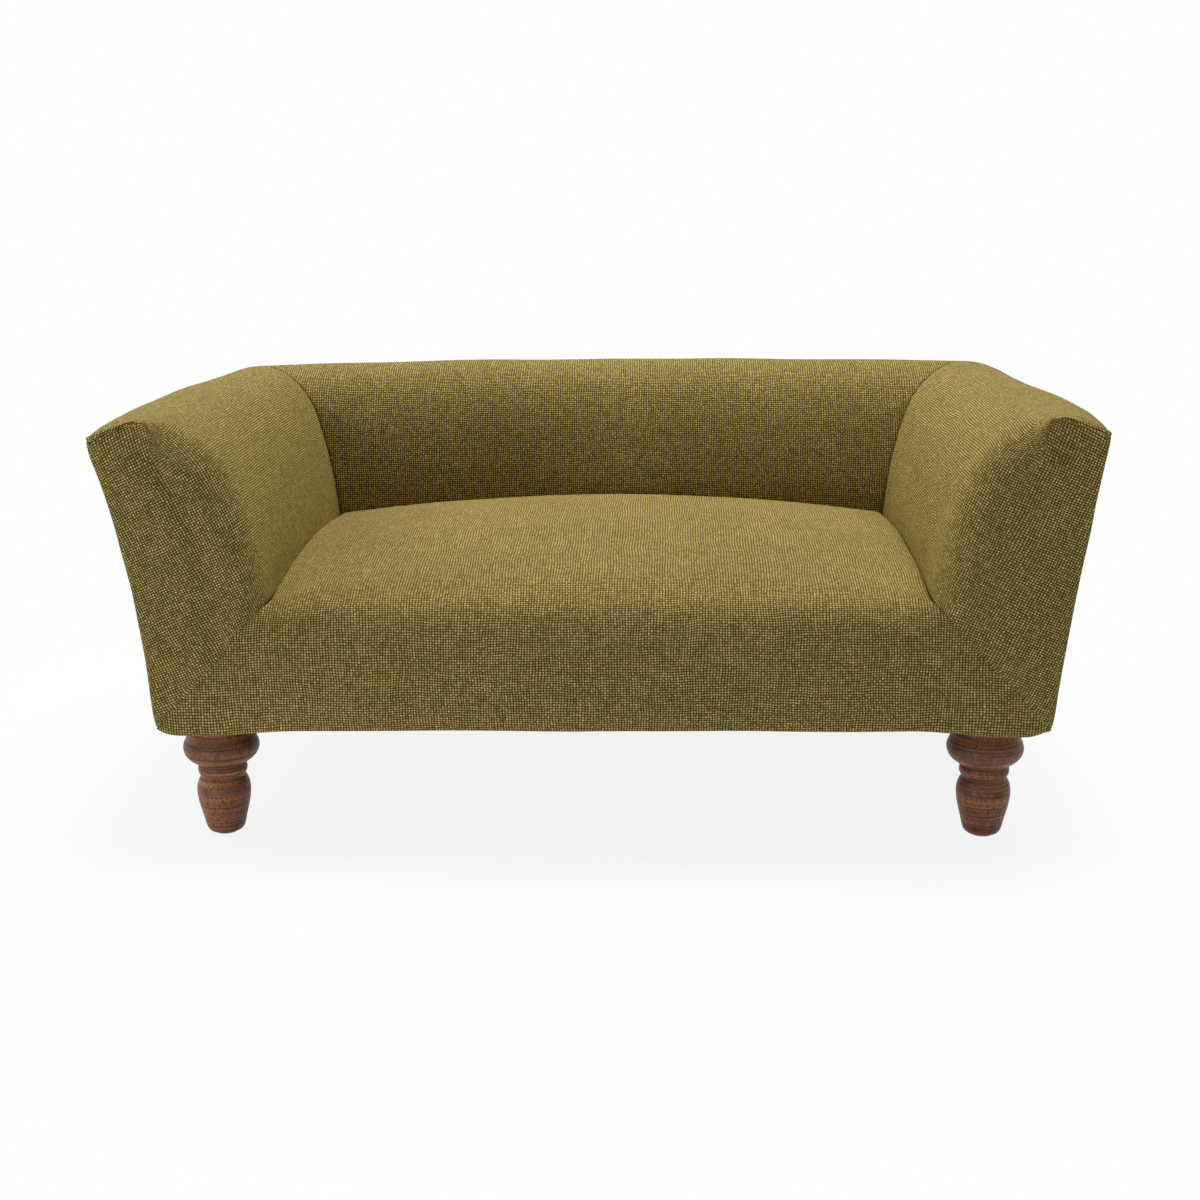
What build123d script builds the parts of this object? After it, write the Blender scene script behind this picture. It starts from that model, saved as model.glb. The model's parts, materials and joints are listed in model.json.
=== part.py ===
from build123d import *
from math import asin, atan2, cos, hypot, radians, sin, sqrt
import os

# Upholstered pet sofa: three padded walls round a fixed, crowned seat, on four turned feet.
# Millimetres. X runs across the bed, Y from front to back, Z up; the origin is on the floor
# under the middle of the bed. Lengths are named here once; the rest is worked out from them.

# Overall sizes
overall_width = 800
overall_depth = 490
wall_height = 254
foot_height = 98
glide_height = 3

# Covers and padding, and the small gap that keeps soft layers apart
cover_thickness = 2.0
pad_thickness = 15.0
front_pad_thickness = 10.0
liner_thickness = 2.7
outer_board_thickness = 1.8
dust_cover_thickness = 1.0
dust_cover_margin = 9.0
layer_gap = 0.3
hem_width = 20.0

# Cross-section of the padded walls, in from the tip and up from the base of the covers
wall_flare = 37.5
outer_hollow = 5.0
tip_drop = 10.0
crown_inset = 45.0
shoulder_radius = 65.0
crease_inset = 129.0
crease_drop = 3.0
tuck_depth = 15.0
front_roll_radius = 28.0
front_edge_radius = 5.0
wall_crown_sag = 4.5
face_radius = 346.0

# Seat
seat_crown_height = 138.0
seat_side_fall = 19.0
seat_roll_radius = 46.0
seat_roll_side_radius = 26.0
seat_lead_degrees = 8.0

# Timber and board
rail_thickness = 22.0
rail_height = 66.0
panel_thickness = 18.0
top_rail_height = 30.0
tack_rail_height = 20.0
tack_rail_thickness = 18.0
centre_rail_height = 35.0
block_leg = 74.0
block_height = 30.0
block_chamfer_leg = 26.0

# Webbing
web_width = 50.0
web_thickness = 1.6
web_gap = 0.2
web_bearing = 16.0
long_web_pitch = 100.0
cross_web_pitch = 130.0
long_web_count = 3
cross_web_count = 4

# Turned feet and their fixings
foot_inset = 42.0
bun_radius = 32.3
bun_height = 36.0
bun_end_radius = 21.0
bun_top_radius = 25.0
bead_end_radius = 19.7
bead_radius = 21.4
bead_height = 9.0
neck_radius = 18.6
neck_height = 2.5
vase_radius = 22.9
vase_shoulder_height = 12.0
vase_end_radius = 16.2
vase_belly_share = 0.67
toe_height = 7.0
toe_radius = 12.5
glide_radius = 11.0
glide_pin_radius = 1.5
glide_pin_length = 12.0
bolt_radius = 4.0
bolt_in_foot = 40.0
bolt_in_block = 34.0
nut_flange_radius = 9.5
nut_flange_thickness = 1.6
nut_barrel_radius = 5.2
nut_barrel_length = 9.0
fixing_clearance = 0.15

# Frame screws
screw_radius = 2.0
screw_head_radius = 4.2
screw_head_height = 2.6
screw_length = 45.0
screw_rise = 15.0
screw_side_reach = 50.0
screw_end_reach = 60.0

# One length by which every cutting shape runs past what it cuts
overrun = 30.0

# Levels, planes and insets worked out from the sizes above
half_width = overall_width / 2
half_depth = overall_depth / 2
front_y = -half_depth
foot_top = glide_height + foot_height
base_level = foot_top + dust_cover_thickness
frame_level = base_level + cover_thickness
rail_top = frame_level + rail_height
web_step = web_thickness + web_gap
web_top = rail_top + web_step + web_thickness
crown_level = base_level + wall_height
crease_level = base_level + seat_crown_height - seat_side_fall - crease_drop
tuck_level = crease_level - tuck_depth
pad_inset = cover_thickness + layer_gap
liner_inset = cover_thickness + pad_thickness + layer_gap
frame_inset = liner_inset + liner_thickness + layer_gap
top_frame_inset = liner_inset + wall_crown_sag
board_end_inset = pad_inset + outer_board_thickness
outer_frame_inset = board_end_inset + layer_gap
front_frame_y = front_y + pad_inset + front_pad_thickness + layer_gap
panel_back_y = front_frame_y + panel_thickness
base_half_width = half_width - wall_flare
base_rear_y = half_depth - wall_flare
outer_top_level = crown_level - tip_drop - wall_crown_sag - 2 * cover_thickness
rail_outer_x = base_half_width - outer_frame_inset
rail_inner_x = rail_outer_x - rail_thickness
rear_rail_outer_y = base_rear_y - outer_frame_inset
rear_rail_inner_y = rear_rail_outer_y - rail_thickness
top_rail_level = crown_level - top_frame_inset - top_rail_height
foot_x = base_half_width - foot_inset
foot_rows = {"front": front_y + foot_inset, "rear": base_rear_y - foot_inset}
sides = {"left": -1, "right": 1}


def on_circle(centre, radius, angle):
    """Point on a circle, at an angle in radians."""
    return (centre[0] + radius * cos(angle), centre[1] + radius * sin(angle))


def circle_through(start, middle, end):
    """Centre and radius of the circle through three points."""
    (ax, ay), (bx, by), (cx, cy) = start, middle, end
    area = 2 * (ax * (by - cy) + bx * (cy - ay) + cx * (ay - by))
    a2, b2, c2 = ax**2 + ay**2, bx**2 + by**2, cx**2 + cy**2
    centre_x = (a2 * (by - cy) + b2 * (cy - ay) + c2 * (ay - by)) / area
    centre_y = (a2 * (cx - bx) + b2 * (ax - cx) + c2 * (bx - ax)) / area
    return (centre_x, centre_y), hypot(ax - centre_x, ay - centre_y)


def line_meets_circle(start, end, centre, radius):
    """Far point where the line from start to end meets a circle."""
    length = hypot(end[0] - start[0], end[1] - start[1])
    unit = ((end[0] - start[0]) / length, (end[1] - start[1]) / length)
    gap = (start[0] - centre[0], start[1] - centre[1])
    along = gap[0] * unit[0] + gap[1] * unit[1]
    reach = sqrt(along**2 - gap[0]**2 - gap[1]**2 + radius**2) - along
    return (start[0] + reach * unit[0], start[1] + reach * unit[1])


def circles_meet(centre_a, radius_a, centre_b, radius_b):
    """Point where two circles cross, to the left of the way from the first to the second."""
    gap = hypot(centre_b[0] - centre_a[0], centre_b[1] - centre_a[1])
    unit = ((centre_b[0] - centre_a[0]) / gap, (centre_b[1] - centre_a[1]) / gap)
    reach = (gap**2 + radius_a**2 - radius_b**2) / (2 * gap)
    rise = sqrt(radius_a**2 - reach**2)
    return (centre_a[0] + reach * unit[0] - rise * unit[1],
            centre_a[1] + reach * unit[1] + rise * unit[0])


class WallSection:
    """Cross-section of a padded wall: distance in from the tip, and height.

    Its arcs keep their centres whatever the insets are, so the cover, the padding and the
    frame inside it stay parallel to each other.
    """

    def __init__(self, sag=0):
        crown = crown_level - sag
        tip = (0, crown_level - tip_drop)
        base = (wall_flare, base_level)
        chord = hypot(tip[0] - base[0], tip[1] - base[1])
        inward = ((tip[1] - base[1]) / chord, (base[0] - tip[0]) / chord)
        hollow = ((tip[0] + base[0]) / 2 + outer_hollow * inward[0],
                  (tip[1] + base[1]) / 2 + outer_hollow * inward[1])
        self.outer_centre, self.outer_radius = circle_through(base, hollow, tip)
        self.top_radius = (crown_inset**2 + tip_drop**2) / (2 * tip_drop)
        self.top_centre = (crown_inset, crown - self.top_radius)
        self.shoulder_centre = (crown_inset, crown - shoulder_radius)
        self.crown = crown
        self.face_centre = circles_meet((crease_inset, crease_level), face_radius,
                                        self.shoulder_centre, face_radius - shoulder_radius)
        self.lean = atan2(self.shoulder_centre[1] - self.face_centre[1],
                          self.shoulder_centre[0] - self.face_centre[0])

    def face_at(self, level, inset):
        """Point of the inner face at a height."""
        angle = asin((level - self.face_centre[1]) / (face_radius - inset))
        return on_circle(self.face_centre, face_radius - inset, angle)

    def outer_at(self, level, inset):
        """Point of the outer face at a height."""
        rise = level - self.outer_centre[1]
        return (self.outer_centre[0] + sqrt((self.outer_radius + inset)**2 - rise**2), level)

    def wire(self, plane, outer, inner, top, below):
        """Closed outline above the mitre line between the wall's foot and the seat crease."""
        root = self.face_at(tuck_level, 0)
        mitre = [(wall_flare, base_level - below), (root[0], root[1] - below)]
        foot = line_meets_circle(*mitre, self.outer_centre, self.outer_radius + outer)
        heel = line_meets_circle(*mitre, self.face_centre, face_radius - inner)
        tip = circles_meet(self.outer_centre, self.outer_radius + outer,
                           self.top_centre, self.top_radius - top)
        crown = (crown_inset, self.crown - top)
        turn = on_circle(self.shoulder_centre, shoulder_radius - inner, self.lean)
        waist = self.outer_at((foot[1] + tip[1]) / 2, outer)
        brow_angle = (atan2(tip[1] - self.top_centre[1], tip[0] - self.top_centre[0])
                      + radians(90)) / 2
        brow = on_circle(self.top_centre, self.top_radius - top, brow_angle)
        bend = on_circle(self.shoulder_centre, shoulder_radius - (inner + top) / 2,
                         (self.lean + radians(90)) / 2)
        middle = self.face_at((turn[1] + heel[1]) / 2, inner)
        put = [plane.from_local_coords(Vector(*point)) for point in
               (foot, waist, tip, brow, crown, bend, turn, middle, heel)]
        return Wire([
            Edge.make_three_point_arc(*put[0:3]),
            Edge.make_three_point_arc(*put[2:5]),
            Edge.make_three_point_arc(*put[4:7]),
            Edge.make_three_point_arc(*put[6:9]),
            Edge.make_line(put[8], put[0]),
        ])

    def panel_wire(self, plane, inner, low):
        """Closed outline of a frame board, square at its foot."""
        outer, top = outer_frame_inset, top_frame_inset
        foot = self.outer_at(low, outer)
        tip = circles_meet(self.outer_centre, self.outer_radius + outer,
                           self.top_centre, self.top_radius - top)
        waist = self.outer_at((low + tip[1]) / 2, outer)
        crown = (crown_inset, self.crown - top)
        brow = (crown_inset / 2, self.top_centre[1]
                + sqrt((self.top_radius - top)**2 - (crown_inset / 2)**2))
        turn = on_circle(self.shoulder_centre, shoulder_radius - inner, self.lean)
        bend = on_circle(self.shoulder_centre, shoulder_radius - (inner + top) / 2,
                         (self.lean + radians(90)) / 2)
        heel = self.face_at(tuck_level, inner)
        middle = self.face_at((turn[1] + heel[1]) / 2, inner)
        put = [plane.from_local_coords(Vector(*point)) for point in
               (foot, waist, tip, brow, crown, bend, turn, middle, heel, (heel[0], low))]
        return Wire([
            Edge.make_three_point_arc(*put[0:3]),
            Edge.make_three_point_arc(*put[2:5]),
            Edge.make_three_point_arc(*put[4:7]),
            Edge.make_three_point_arc(*put[6:9]),
            Edge.make_line(put[8], put[9]),
            Edge.make_line(put[9], put[0]),
        ])

    def band_wire(self, plane, near, far, low, high):
        """Closed outline of a sheet or board that follows the outer face."""
        middle = (low + high) / 2
        put = [plane.from_local_coords(Vector(*self.outer_at(level, inset)))
               for inset, level in ((near, low), (near, middle), (near, high),
                                    (far, high), (far, middle), (far, low))]
        return Wire([
            Edge.make_three_point_arc(*put[0:3]),
            Edge.make_line(put[2], put[3]),
            Edge.make_three_point_arc(*put[3:6]),
            Edge.make_line(put[5], put[0]),
        ])


def arm_plane(y):
    """Plane across the right arm: inwards from its tip, and up."""
    return Plane(origin=(half_width, y, 0), x_dir=(-1, 0, 0), z_dir=(0, 1, 0))


def back_plane(x):
    """Plane across the back: forwards from its tip, and up."""
    return Plane(origin=(x, half_depth, 0), x_dir=(0, -1, 0), z_dir=(-1, 0, 0))


def roll_inset(depth, radius, inset):
    """Inset of a wall behind its rolled front edge, at a depth behind the front."""
    if depth >= radius:
        return inset
    return radius - sqrt(max((radius - inset)**2 - (radius - depth)**2, 0))


def arm_form(inset, below=0):
    """Padded right arm, drawn in all round by an inset, running past the rear mitre."""
    roll_turns = (90, 68, 45, 22, 0)
    depths = [inset + (front_roll_radius - inset) * (1 - sin(radians(turn))) for turn in roll_turns]
    length_shares = (0.25, 0.45, 0.65, 0.85)
    depths += [share * overall_depth for share in length_shares] + [overall_depth + overrun]
    middle = (overall_depth - crown_inset) / 2
    wires = []
    for depth in depths:
        sag = wall_crown_sag * ((depth - middle) / middle)**2
        edge = roll_inset(depth, front_edge_radius, inset)
        face = roll_inset(depth, front_roll_radius, inset)
        wires.append(WallSection(sag).wire(arm_plane(front_y + depth), edge, face, edge, below))
    return Solid.make_loft(wires, ruled=True)


def back_form(inset, below=0):
    """Padded back, drawn in all round by an inset, running past both mitres."""
    width_shares = (-1, -0.5, 0, 0.5, 1)
    reach = half_width + overrun
    span = half_width - crown_inset
    wires = []
    for share in width_shares:
        sag = wall_crown_sag * (share * reach / span)**2
        wires.append(WallSection(sag).wire(back_plane(share * reach), inset, inset, inset, below))
    return Solid.make_loft(wires, ruled=True)


wall = WallSection()


def arm_run(wire_at, start, end):
    """Straight piece of the right arm between two places along Y."""
    return extrude(Face(wire_at(arm_plane(start))), amount=end - start, dir=(0, 1, 0))


def back_run(wire_at, start, end):
    """Straight piece of the back between two places along X."""
    return extrude(Face(wire_at(back_plane(start))), amount=end - start, dir=(1, 0, 0))


def block(low, high):
    """Square block between two corners."""
    size = [high[axis] - low[axis] for axis in range(3)]
    middle = [(high[axis] + low[axis]) / 2 for axis in range(3)]
    return Pos(*middle) * Box(*size)


def slab(level_low, level_high):
    """Level layer that reaches past the whole bed."""
    return block((-overall_width, -overall_depth, level_low),
                 (overall_width, overall_depth, level_high))


def mitre_plane(side, gap):
    """Plane of the mitre behind an arm, moved towards the arm by a gap."""
    normal = Vector(-side, 1, 0).normalized()
    origin = Vector(side * half_width, half_depth, 0) - normal * gap
    return Plane(origin=origin, z_dir=normal)


def arm_side(shape, gap):
    """Part of a right-hand shape that lies on the arm's side of the mitre."""
    return shape.split(mitre_plane(1, gap), keep=Keep.BOTTOM)


def back_side(shape, gap):
    """Part of a shape that lies between the two mitres."""
    for side in sides.values():
        shape = shape.split(mitre_plane(side, -gap), keep=Keep.TOP)
    return shape


def mirrored(shape):
    """The left-hand copy of a right-hand shape."""
    return shape.mirror(Plane.YZ)


def outer_sheet_cut(inset, level):
    """Outline of everything outside an inset of the outer face, below a level."""
    def outline(plane):
        return wall.band_wire(plane, -overrun, inset, base_level - overrun, level)
    return outline


def arm_cover():
    """Fabric over the inside, top and front of the right arm, open at the side and below."""
    shell = arm_form(0) - arm_form(cover_thickness, overrun)
    side_cut = arm_run(outer_sheet_cut(cover_thickness + layer_gap, outer_top_level),
                       front_y + hem_width, half_depth + overrun)
    return arm_side(shell - side_cut, layer_gap / 2)


def back_inside_cover():
    """Fabric over the inside and top of the back."""
    shell = back_form(0) - back_form(cover_thickness, overrun)
    side_cut = back_run(outer_sheet_cut(cover_thickness + layer_gap, outer_top_level),
                        -overall_width, overall_width)
    return back_side(shell - side_cut, layer_gap / 2)


def outside_cover(run, start, end):
    """Flat fabric down the outside of a wall, turned under the rail at its hem."""
    sheet = run(lambda plane: wall.band_wire(plane, 0, cover_thickness, base_level,
                                             outer_top_level - layer_gap), start, end)
    hem = run(lambda plane: wall.band_wire(plane, 0, hem_width, base_level, frame_level),
              start, end)
    return sheet + hem


def pad_core(run, start, end):
    """What the padding of a wall wraps: its frame, open to the outside and below."""
    return run(lambda plane: wall.wire(plane, 0, liner_inset, top_frame_inset, overrun), start, end)


def arm_pad():
    """Foam over the inside, top and front of the right arm."""
    core = pad_core(arm_run, front_frame_y - layer_gap, half_depth + overrun)
    return arm_side(arm_form(pad_inset) - core, layer_gap)


def back_pad():
    """Foam over the inside and top of the back."""
    core = pad_core(back_run, -overall_width, overall_width)
    return back_side(back_form(pad_inset) - core, layer_gap)


def liner(run, start, end):
    """Thin board bent round the inside of a wall's frame, which carries the foam."""
    outside = run(lambda plane: wall.wire(plane, 0, liner_inset, top_frame_inset, 0), start, end)
    inside = run(lambda plane: wall.wire(plane, -overrun, frame_inset - layer_gap,
                                         top_frame_inset, overrun), start, end)
    return (outside - inside) & slab(tuck_level, wall.shoulder_centre[1] + top_rail_height)


def wall_board(run, start, end, low):
    """Shaped board across a wall, square at its foot."""
    return run(lambda plane: wall.panel_wire(plane, frame_inset, low), start, end)


def top_rail(run, start, end):
    """Top rail of a wall, shaped to the crown."""
    return wall_board(run, start, end, rail_top) & slab(top_rail_level, crown_level)


def tack_rail(run, start, end):
    """Lower rail of a wall, where the inside fabric is fixed."""
    depth = (wall.face_at(tuck_level, frame_inset)[0] - tack_rail_thickness
             - wall.outer_at(tuck_level, 0)[0])
    core = wall_board(run, start, end, rail_top) & slab(tuck_level, tuck_level + tack_rail_height)
    return core - run(lambda plane: wall.band_wire(plane, -overrun, depth, rail_top,
                                                   top_rail_level), start, end)


def outer_board(run, start, end):
    """Card that stiffens the outside of a wall, up to the foam on its top rail."""
    foam_edge = circles_meet(wall.outer_centre, wall.outer_radius + pad_inset,
                             wall.top_centre, wall.top_radius - top_frame_inset)
    return run(lambda plane: wall.band_wire(plane, pad_inset, board_end_inset, frame_level,
                                            foam_edge[1] - layer_gap), start, end)


def seat_wire(x, inset, bottom):
    """Outline of the seat along Y at one place across it."""
    side_share = (x / (half_width - crease_inset))**2
    roll = seat_roll_radius - (seat_roll_radius - seat_roll_side_radius) * side_share
    crown = base_level + seat_crown_height - seat_side_fall * side_share
    lead = radians(seat_lead_degrees)
    start = front_y + roll * (1 - sin(lead))
    end = half_depth - crease_inset + overrun
    middle = (start + end) / 2
    radius = (end - start) / (2 * sin(lead))
    rise = radius * (1 - cos(lead))
    roll_centre = (front_y + roll, crown - rise - roll * cos(lead))
    top_centre = (middle, crown - radius)
    half_turn = (radians(180) + radians(90) + lead) / 2
    outline = [
        (front_y + inset, bottom),
        (front_y + inset, roll_centre[1]),
        on_circle(roll_centre, roll - inset, half_turn),
        on_circle(roll_centre, roll - inset, radians(90) + lead),
        (middle, crown - inset),
        on_circle(top_centre, radius - inset, radians(90) - lead),
    ]
    outline.append((outline[5][0], bottom))
    put = [Vector(x, *point) for point in outline]
    return Wire([
        Edge.make_line(put[0], put[1]),
        Edge.make_three_point_arc(*put[1:4]),
        Edge.make_three_point_arc(*put[3:6]),
        Edge.make_line(put[5], put[6]),
        Edge.make_line(put[6], put[0]),
    ])


def seat_form(inset, bottom, reach):
    """Crowned seat with its front roll, running under the arms and the back."""
    half_shares = (0, 0.2, 0.4, 0.6, 0.8, 1)
    shares = [-share for share in reversed(half_shares[1:])] + list(half_shares)
    full_reach = base_half_width + hem_width
    whole = Solid.make_loft([seat_wire(share * full_reach, inset, bottom) for share in shares],
                            ruled=True)
    return whole & block((-reach, -overall_depth, 0), (reach, overall_depth, crown_level))


def walls_grown(growth):
    """The two arms and the back, grown by a distance, as cutting shapes."""
    arm = arm_form(-growth, growth)
    return [arm, mirrored(arm), back_form(-growth, growth)]


def cut_by(shape, cutters):
    """Shape with each of the cutting shapes taken away."""
    for cutter in cutters:
        shape = shape - cutter
    return shape


def seat_cover():
    """Fabric over the seat and down its front, tucked in beside the arms and the back."""
    whole = seat_form(0, base_level, base_half_width)
    shell = whole - seat_form(cover_thickness, frame_level, half_width)
    shell = shell - block((-overall_width, front_y + hem_width, base_level - overrun),
                          (overall_width, overall_depth, tuck_level - overrun / 2))
    tuck_room = block((-overall_width, front_y + front_roll_radius, tuck_level),
                      (overall_width, overall_depth, crown_level))
    near = walls_grown(layer_gap)
    tucked = whole & tuck_room
    skirts = [cut_by(tucked & far, near) for far in walls_grown(layer_gap + cover_thickness)]
    cover = cut_by(shell, near)
    for skirt in skirts:
        cover = cover + skirt
    return cover


def seat_pad():
    """Foam block of the seat, crowned on top and wrapped down over the front rail."""
    pad = seat_form(pad_inset, frame_level + layer_gap, base_half_width - pad_inset)
    side_x = half_width - wall.face_at(tuck_level, 0)[0] - pad_inset - layer_gap
    behind = front_frame_y - layer_gap
    pad = pad - block((-overall_width, behind, base_level - overrun),
                      (overall_width, overall_depth, web_top + layer_gap))
    for side in sides.values():
        low, high = sorted((side * side_x, side * overall_width))
        pad = pad - block((low, behind, base_level), (high, overall_depth, crown_level))
    rear_y = half_depth - wall.face_at(tuck_level, 0)[0] - pad_inset - layer_gap
    pad = pad - block((-overall_width, rear_y, base_level),
                      (overall_width, overall_depth, crown_level))
    return cut_by(pad, walls_grown(pad_inset + layer_gap))


def dust_cover():
    """Thin cloth across the underside, with a hole for each foot bolt."""
    margin = dust_cover_margin
    sheet = block((-base_half_width + margin, front_y + margin, foot_top),
                  (base_half_width - margin, base_rear_y - margin, base_level))
    for side in sides.values():
        for foot_y in foot_rows.values():
            hole = Cylinder(bolt_radius + fixing_clearance, 2 * dust_cover_thickness)
            sheet = sheet - Pos(side * foot_x, foot_y, base_level) * hole
    return sheet


def strap(start, end, crossings, first_high):
    """Woven strap as an outline along its length: flat at each crossing, over then under."""
    flat = web_width / 2 + web_step
    low, high = rail_top, rail_top + web_step
    under = [(start, low)]
    high_now = first_high
    for place in crossings:
        level = high if high_now else low
        under += [(place - flat, level), (place + flat, level)]
        high_now = not high_now
    under.append((end, low))
    over = [(along, level + web_thickness) for along, level in reversed(under)]
    return under + over


def spread(count, pitch):
    """Places of a row of equal steps about its middle."""
    return [pitch * (index - (count - 1) / 2) for index in range(count)]


web_middle_y = (front_y + half_depth - crease_inset) / 2
long_web_places = [web_middle_y + place for place in spread(long_web_count, long_web_pitch)]
cross_web_places = spread(cross_web_count, cross_web_pitch)


def webbing_long():
    """Straps from side rail to side rail."""
    straps = []
    reach = rail_inner_x + web_bearing
    for index, place in enumerate(long_web_places):
        outline = strap(-reach, reach, cross_web_places, index % 2 == 0)
        edge = place + web_width / 2
        face = Face(Wire.make_polygon([Vector(along, edge, level) for along, level in outline]))
        straps.append(extrude(face, amount=web_width, dir=(0, -1, 0)))
    return Compound(straps)


def webbing_cross():
    """Straps from the front rail to the rear rail, woven through the long ones."""
    straps = []
    start = panel_back_y - web_bearing
    end = rear_rail_inner_y + web_bearing
    for index, place in enumerate(cross_web_places):
        outline = strap(start, end, long_web_places, index % 2 == 1)
        edge = place - web_width / 2
        face = Face(Wire.make_polygon([Vector(edge, along, level) for along, level in outline]))
        straps.append(extrude(face, amount=web_width, dir=(1, 0, 0)))
    return Compound(straps)


def frame_rail(low, high):
    """Straight rail of the base."""
    return block((low[0], low[1], frame_level), (high[0], high[1], rail_top))


def corner_block(side, row):
    """Glued corner block with its bore for the foot bolt and the nut barrel."""
    corner_y, turn = (panel_back_y, 1) if row == "front" else (rear_rail_inner_y, -1)
    corner_x = side * rail_inner_x
    shares = ((0, 0), (block_leg, 0), (block_leg, block_chamfer_leg),
              (block_chamfer_leg, block_leg), (0, block_leg))
    outline = [Vector(corner_x - side * run, corner_y + turn * rise, frame_level)
               for run, rise in shares]
    body = extrude(Face(Wire.make_polygon(outline)), amount=block_height, dir=(0, 0, 1))
    place = Pos(side * foot_x, foot_rows[row], frame_level)
    body = body - place * Cylinder(bolt_radius + fixing_clearance, 2 * block_height)
    barrel = Cylinder(nut_barrel_radius + fixing_clearance, nut_barrel_length + fixing_clearance,
                      align=(Align.CENTER, Align.CENTER, Align.MAX))
    return body - place * Pos(0, 0, block_height) * barrel


def corner_post():
    """Leaning post in the right rear corner, which follows the flare both ways."""
    def outline(plane):
        return wall.band_wire(plane, outer_frame_inset, outer_frame_inset + rail_thickness,
                              frame_level, top_rail_level)
    return arm_run(outline, 0, half_depth) & back_run(outline, 0, half_width)


def turned_foot():
    """Turned foot on its own axis, from the glide up to the bed."""
    low, top = glide_height, foot_top
    bun_low = top - bun_height
    bun_middle = top - bun_height / 2
    bead_low = bun_low - bead_height
    vase_neck = bead_low - neck_height
    vase_widest = vase_neck - vase_shoulder_height
    toe = low + toe_height
    half = cos(radians(45))

    def quarter(wide, end, level_wide, level_end):
        """Middle point of a rounded stretch from its widest place to its end."""
        return (end + (wide - end) * half, level_wide + (level_end - level_wide) * half)

    belly = (vase_end_radius + (vase_radius - vase_end_radius) * vase_belly_share,
             (vase_widest + toe) / 2)
    stretches = [
        [(toe_radius, low), quarter(vase_end_radius, toe_radius, toe, low), (vase_end_radius, toe)],
        [(vase_end_radius, toe), belly, (vase_radius, vase_widest)],
        [(vase_radius, vase_widest), quarter(vase_radius, neck_radius, vase_widest, vase_neck),
         (neck_radius, vase_neck)],
        [(neck_radius, vase_neck), (neck_radius, bead_low)],
        [(neck_radius, bead_low), (bead_radius, (bead_low + bun_low) / 2),
         (bead_end_radius, bun_low)],
        [(bead_end_radius, bun_low), (bun_end_radius, bun_low)],
        [(bun_end_radius, bun_low), quarter(bun_radius, bun_end_radius, bun_middle, bun_low),
         (bun_radius, bun_middle)],
        [(bun_radius, bun_middle), quarter(bun_radius, bun_top_radius, bun_middle, top),
         (bun_top_radius, top)],
        [(bun_top_radius, top), (0, top)],
        [(0, top), (0, low)],
        [(0, low), (toe_radius, low)],
    ]
    edges = []
    for stretch in stretches:
        put = [Vector(radius, 0, level) for radius, level in stretch]
        if len(put) == 2:
            edges.append(Edge.make_line(*put))
        else:
            edges.append(Edge.make_three_point_arc(*put))
    body = revolve(Face(Wire(edges)), Axis.Z)
    bolt_bore = Cylinder(bolt_radius + fixing_clearance, bolt_in_foot + fixing_clearance,
                         align=(Align.CENTER, Align.CENTER, Align.MAX))
    pin_bore = Cylinder(glide_pin_radius + fixing_clearance, glide_pin_length + fixing_clearance,
                        align=(Align.CENTER, Align.CENTER, Align.MIN))
    return body - Pos(0, 0, top) * bolt_bore - Pos(0, 0, low) * pin_bore


def glide():
    """Nail-on glide under a foot."""
    up = (Align.CENTER, Align.CENTER, Align.MIN)
    disc = Cylinder(glide_radius, glide_height, align=up)
    disc = chamfer(disc.edges().group_by(Axis.Z)[0], glide_height / 3)
    return disc + Pos(0, 0, glide_height) * Cylinder(glide_pin_radius, glide_pin_length, align=up)


def hanger_bolt():
    """Bolt between a foot and its corner block."""
    length = bolt_in_foot + bolt_in_block
    body = Cylinder(bolt_radius, length, align=(Align.CENTER, Align.CENTER, Align.MIN))
    return Pos(0, 0, foot_top - bolt_in_foot) * body


def tee_nut():
    """Flanged nut on top of a corner block, its barrel down in the bore."""
    up = (Align.CENTER, Align.CENTER, Align.MIN)
    down = (Align.CENTER, Align.CENTER, Align.MAX)
    body = Cylinder(nut_flange_radius, nut_flange_thickness, align=up)
    body = body + Cylinder(nut_barrel_radius, nut_barrel_length, align=down)
    body = body - Cylinder(bolt_radius + fixing_clearance, 4 * nut_barrel_length)
    return Pos(0, 0, frame_level + block_height) * body


def frame_screw(clearance):
    """Countersunk screw along +X from its head, grown by a clearance for its hole."""
    shank = Cylinder(screw_radius + clearance, screw_length + clearance,
                     align=(Align.CENTER, Align.CENTER, Align.MIN))
    head = Cone(screw_head_radius + clearance, screw_radius + clearance, screw_head_height,
                align=(Align.CENTER, Align.CENTER, Align.MIN))
    return Rot(0, 90, 0) * (shank + head)


def frame_screws(clearance):
    """The screws through the rails into the corner blocks."""
    screws = []
    level = frame_level + screw_rise
    for side in sides.values():
        inward = 180 if side > 0 else 0
        for corner_y, rail_y, turn in ((panel_back_y, front_frame_y, 1),
                                       (rear_rail_inner_y, rear_rail_outer_y, -1)):
            through_side = Pos(side * rail_outer_x, corner_y + turn * screw_side_reach, level)
            screws.append(through_side * Rot(0, 0, inward) * frame_screw(clearance))
            through_end = Pos(side * (rail_inner_x - screw_end_reach), rail_y, level)
            screws.append(through_end * Rot(0, 0, turn * 90) * frame_screw(clearance))
    return screws


def at_feet(shape):
    """A copy of a shape on each foot axis, by corner name."""
    return {f"{row}_{name}": Pos(side * foot_x, foot_rows[row], 0) * shape
            for row in foot_rows for name, side in sides.items()}


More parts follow.
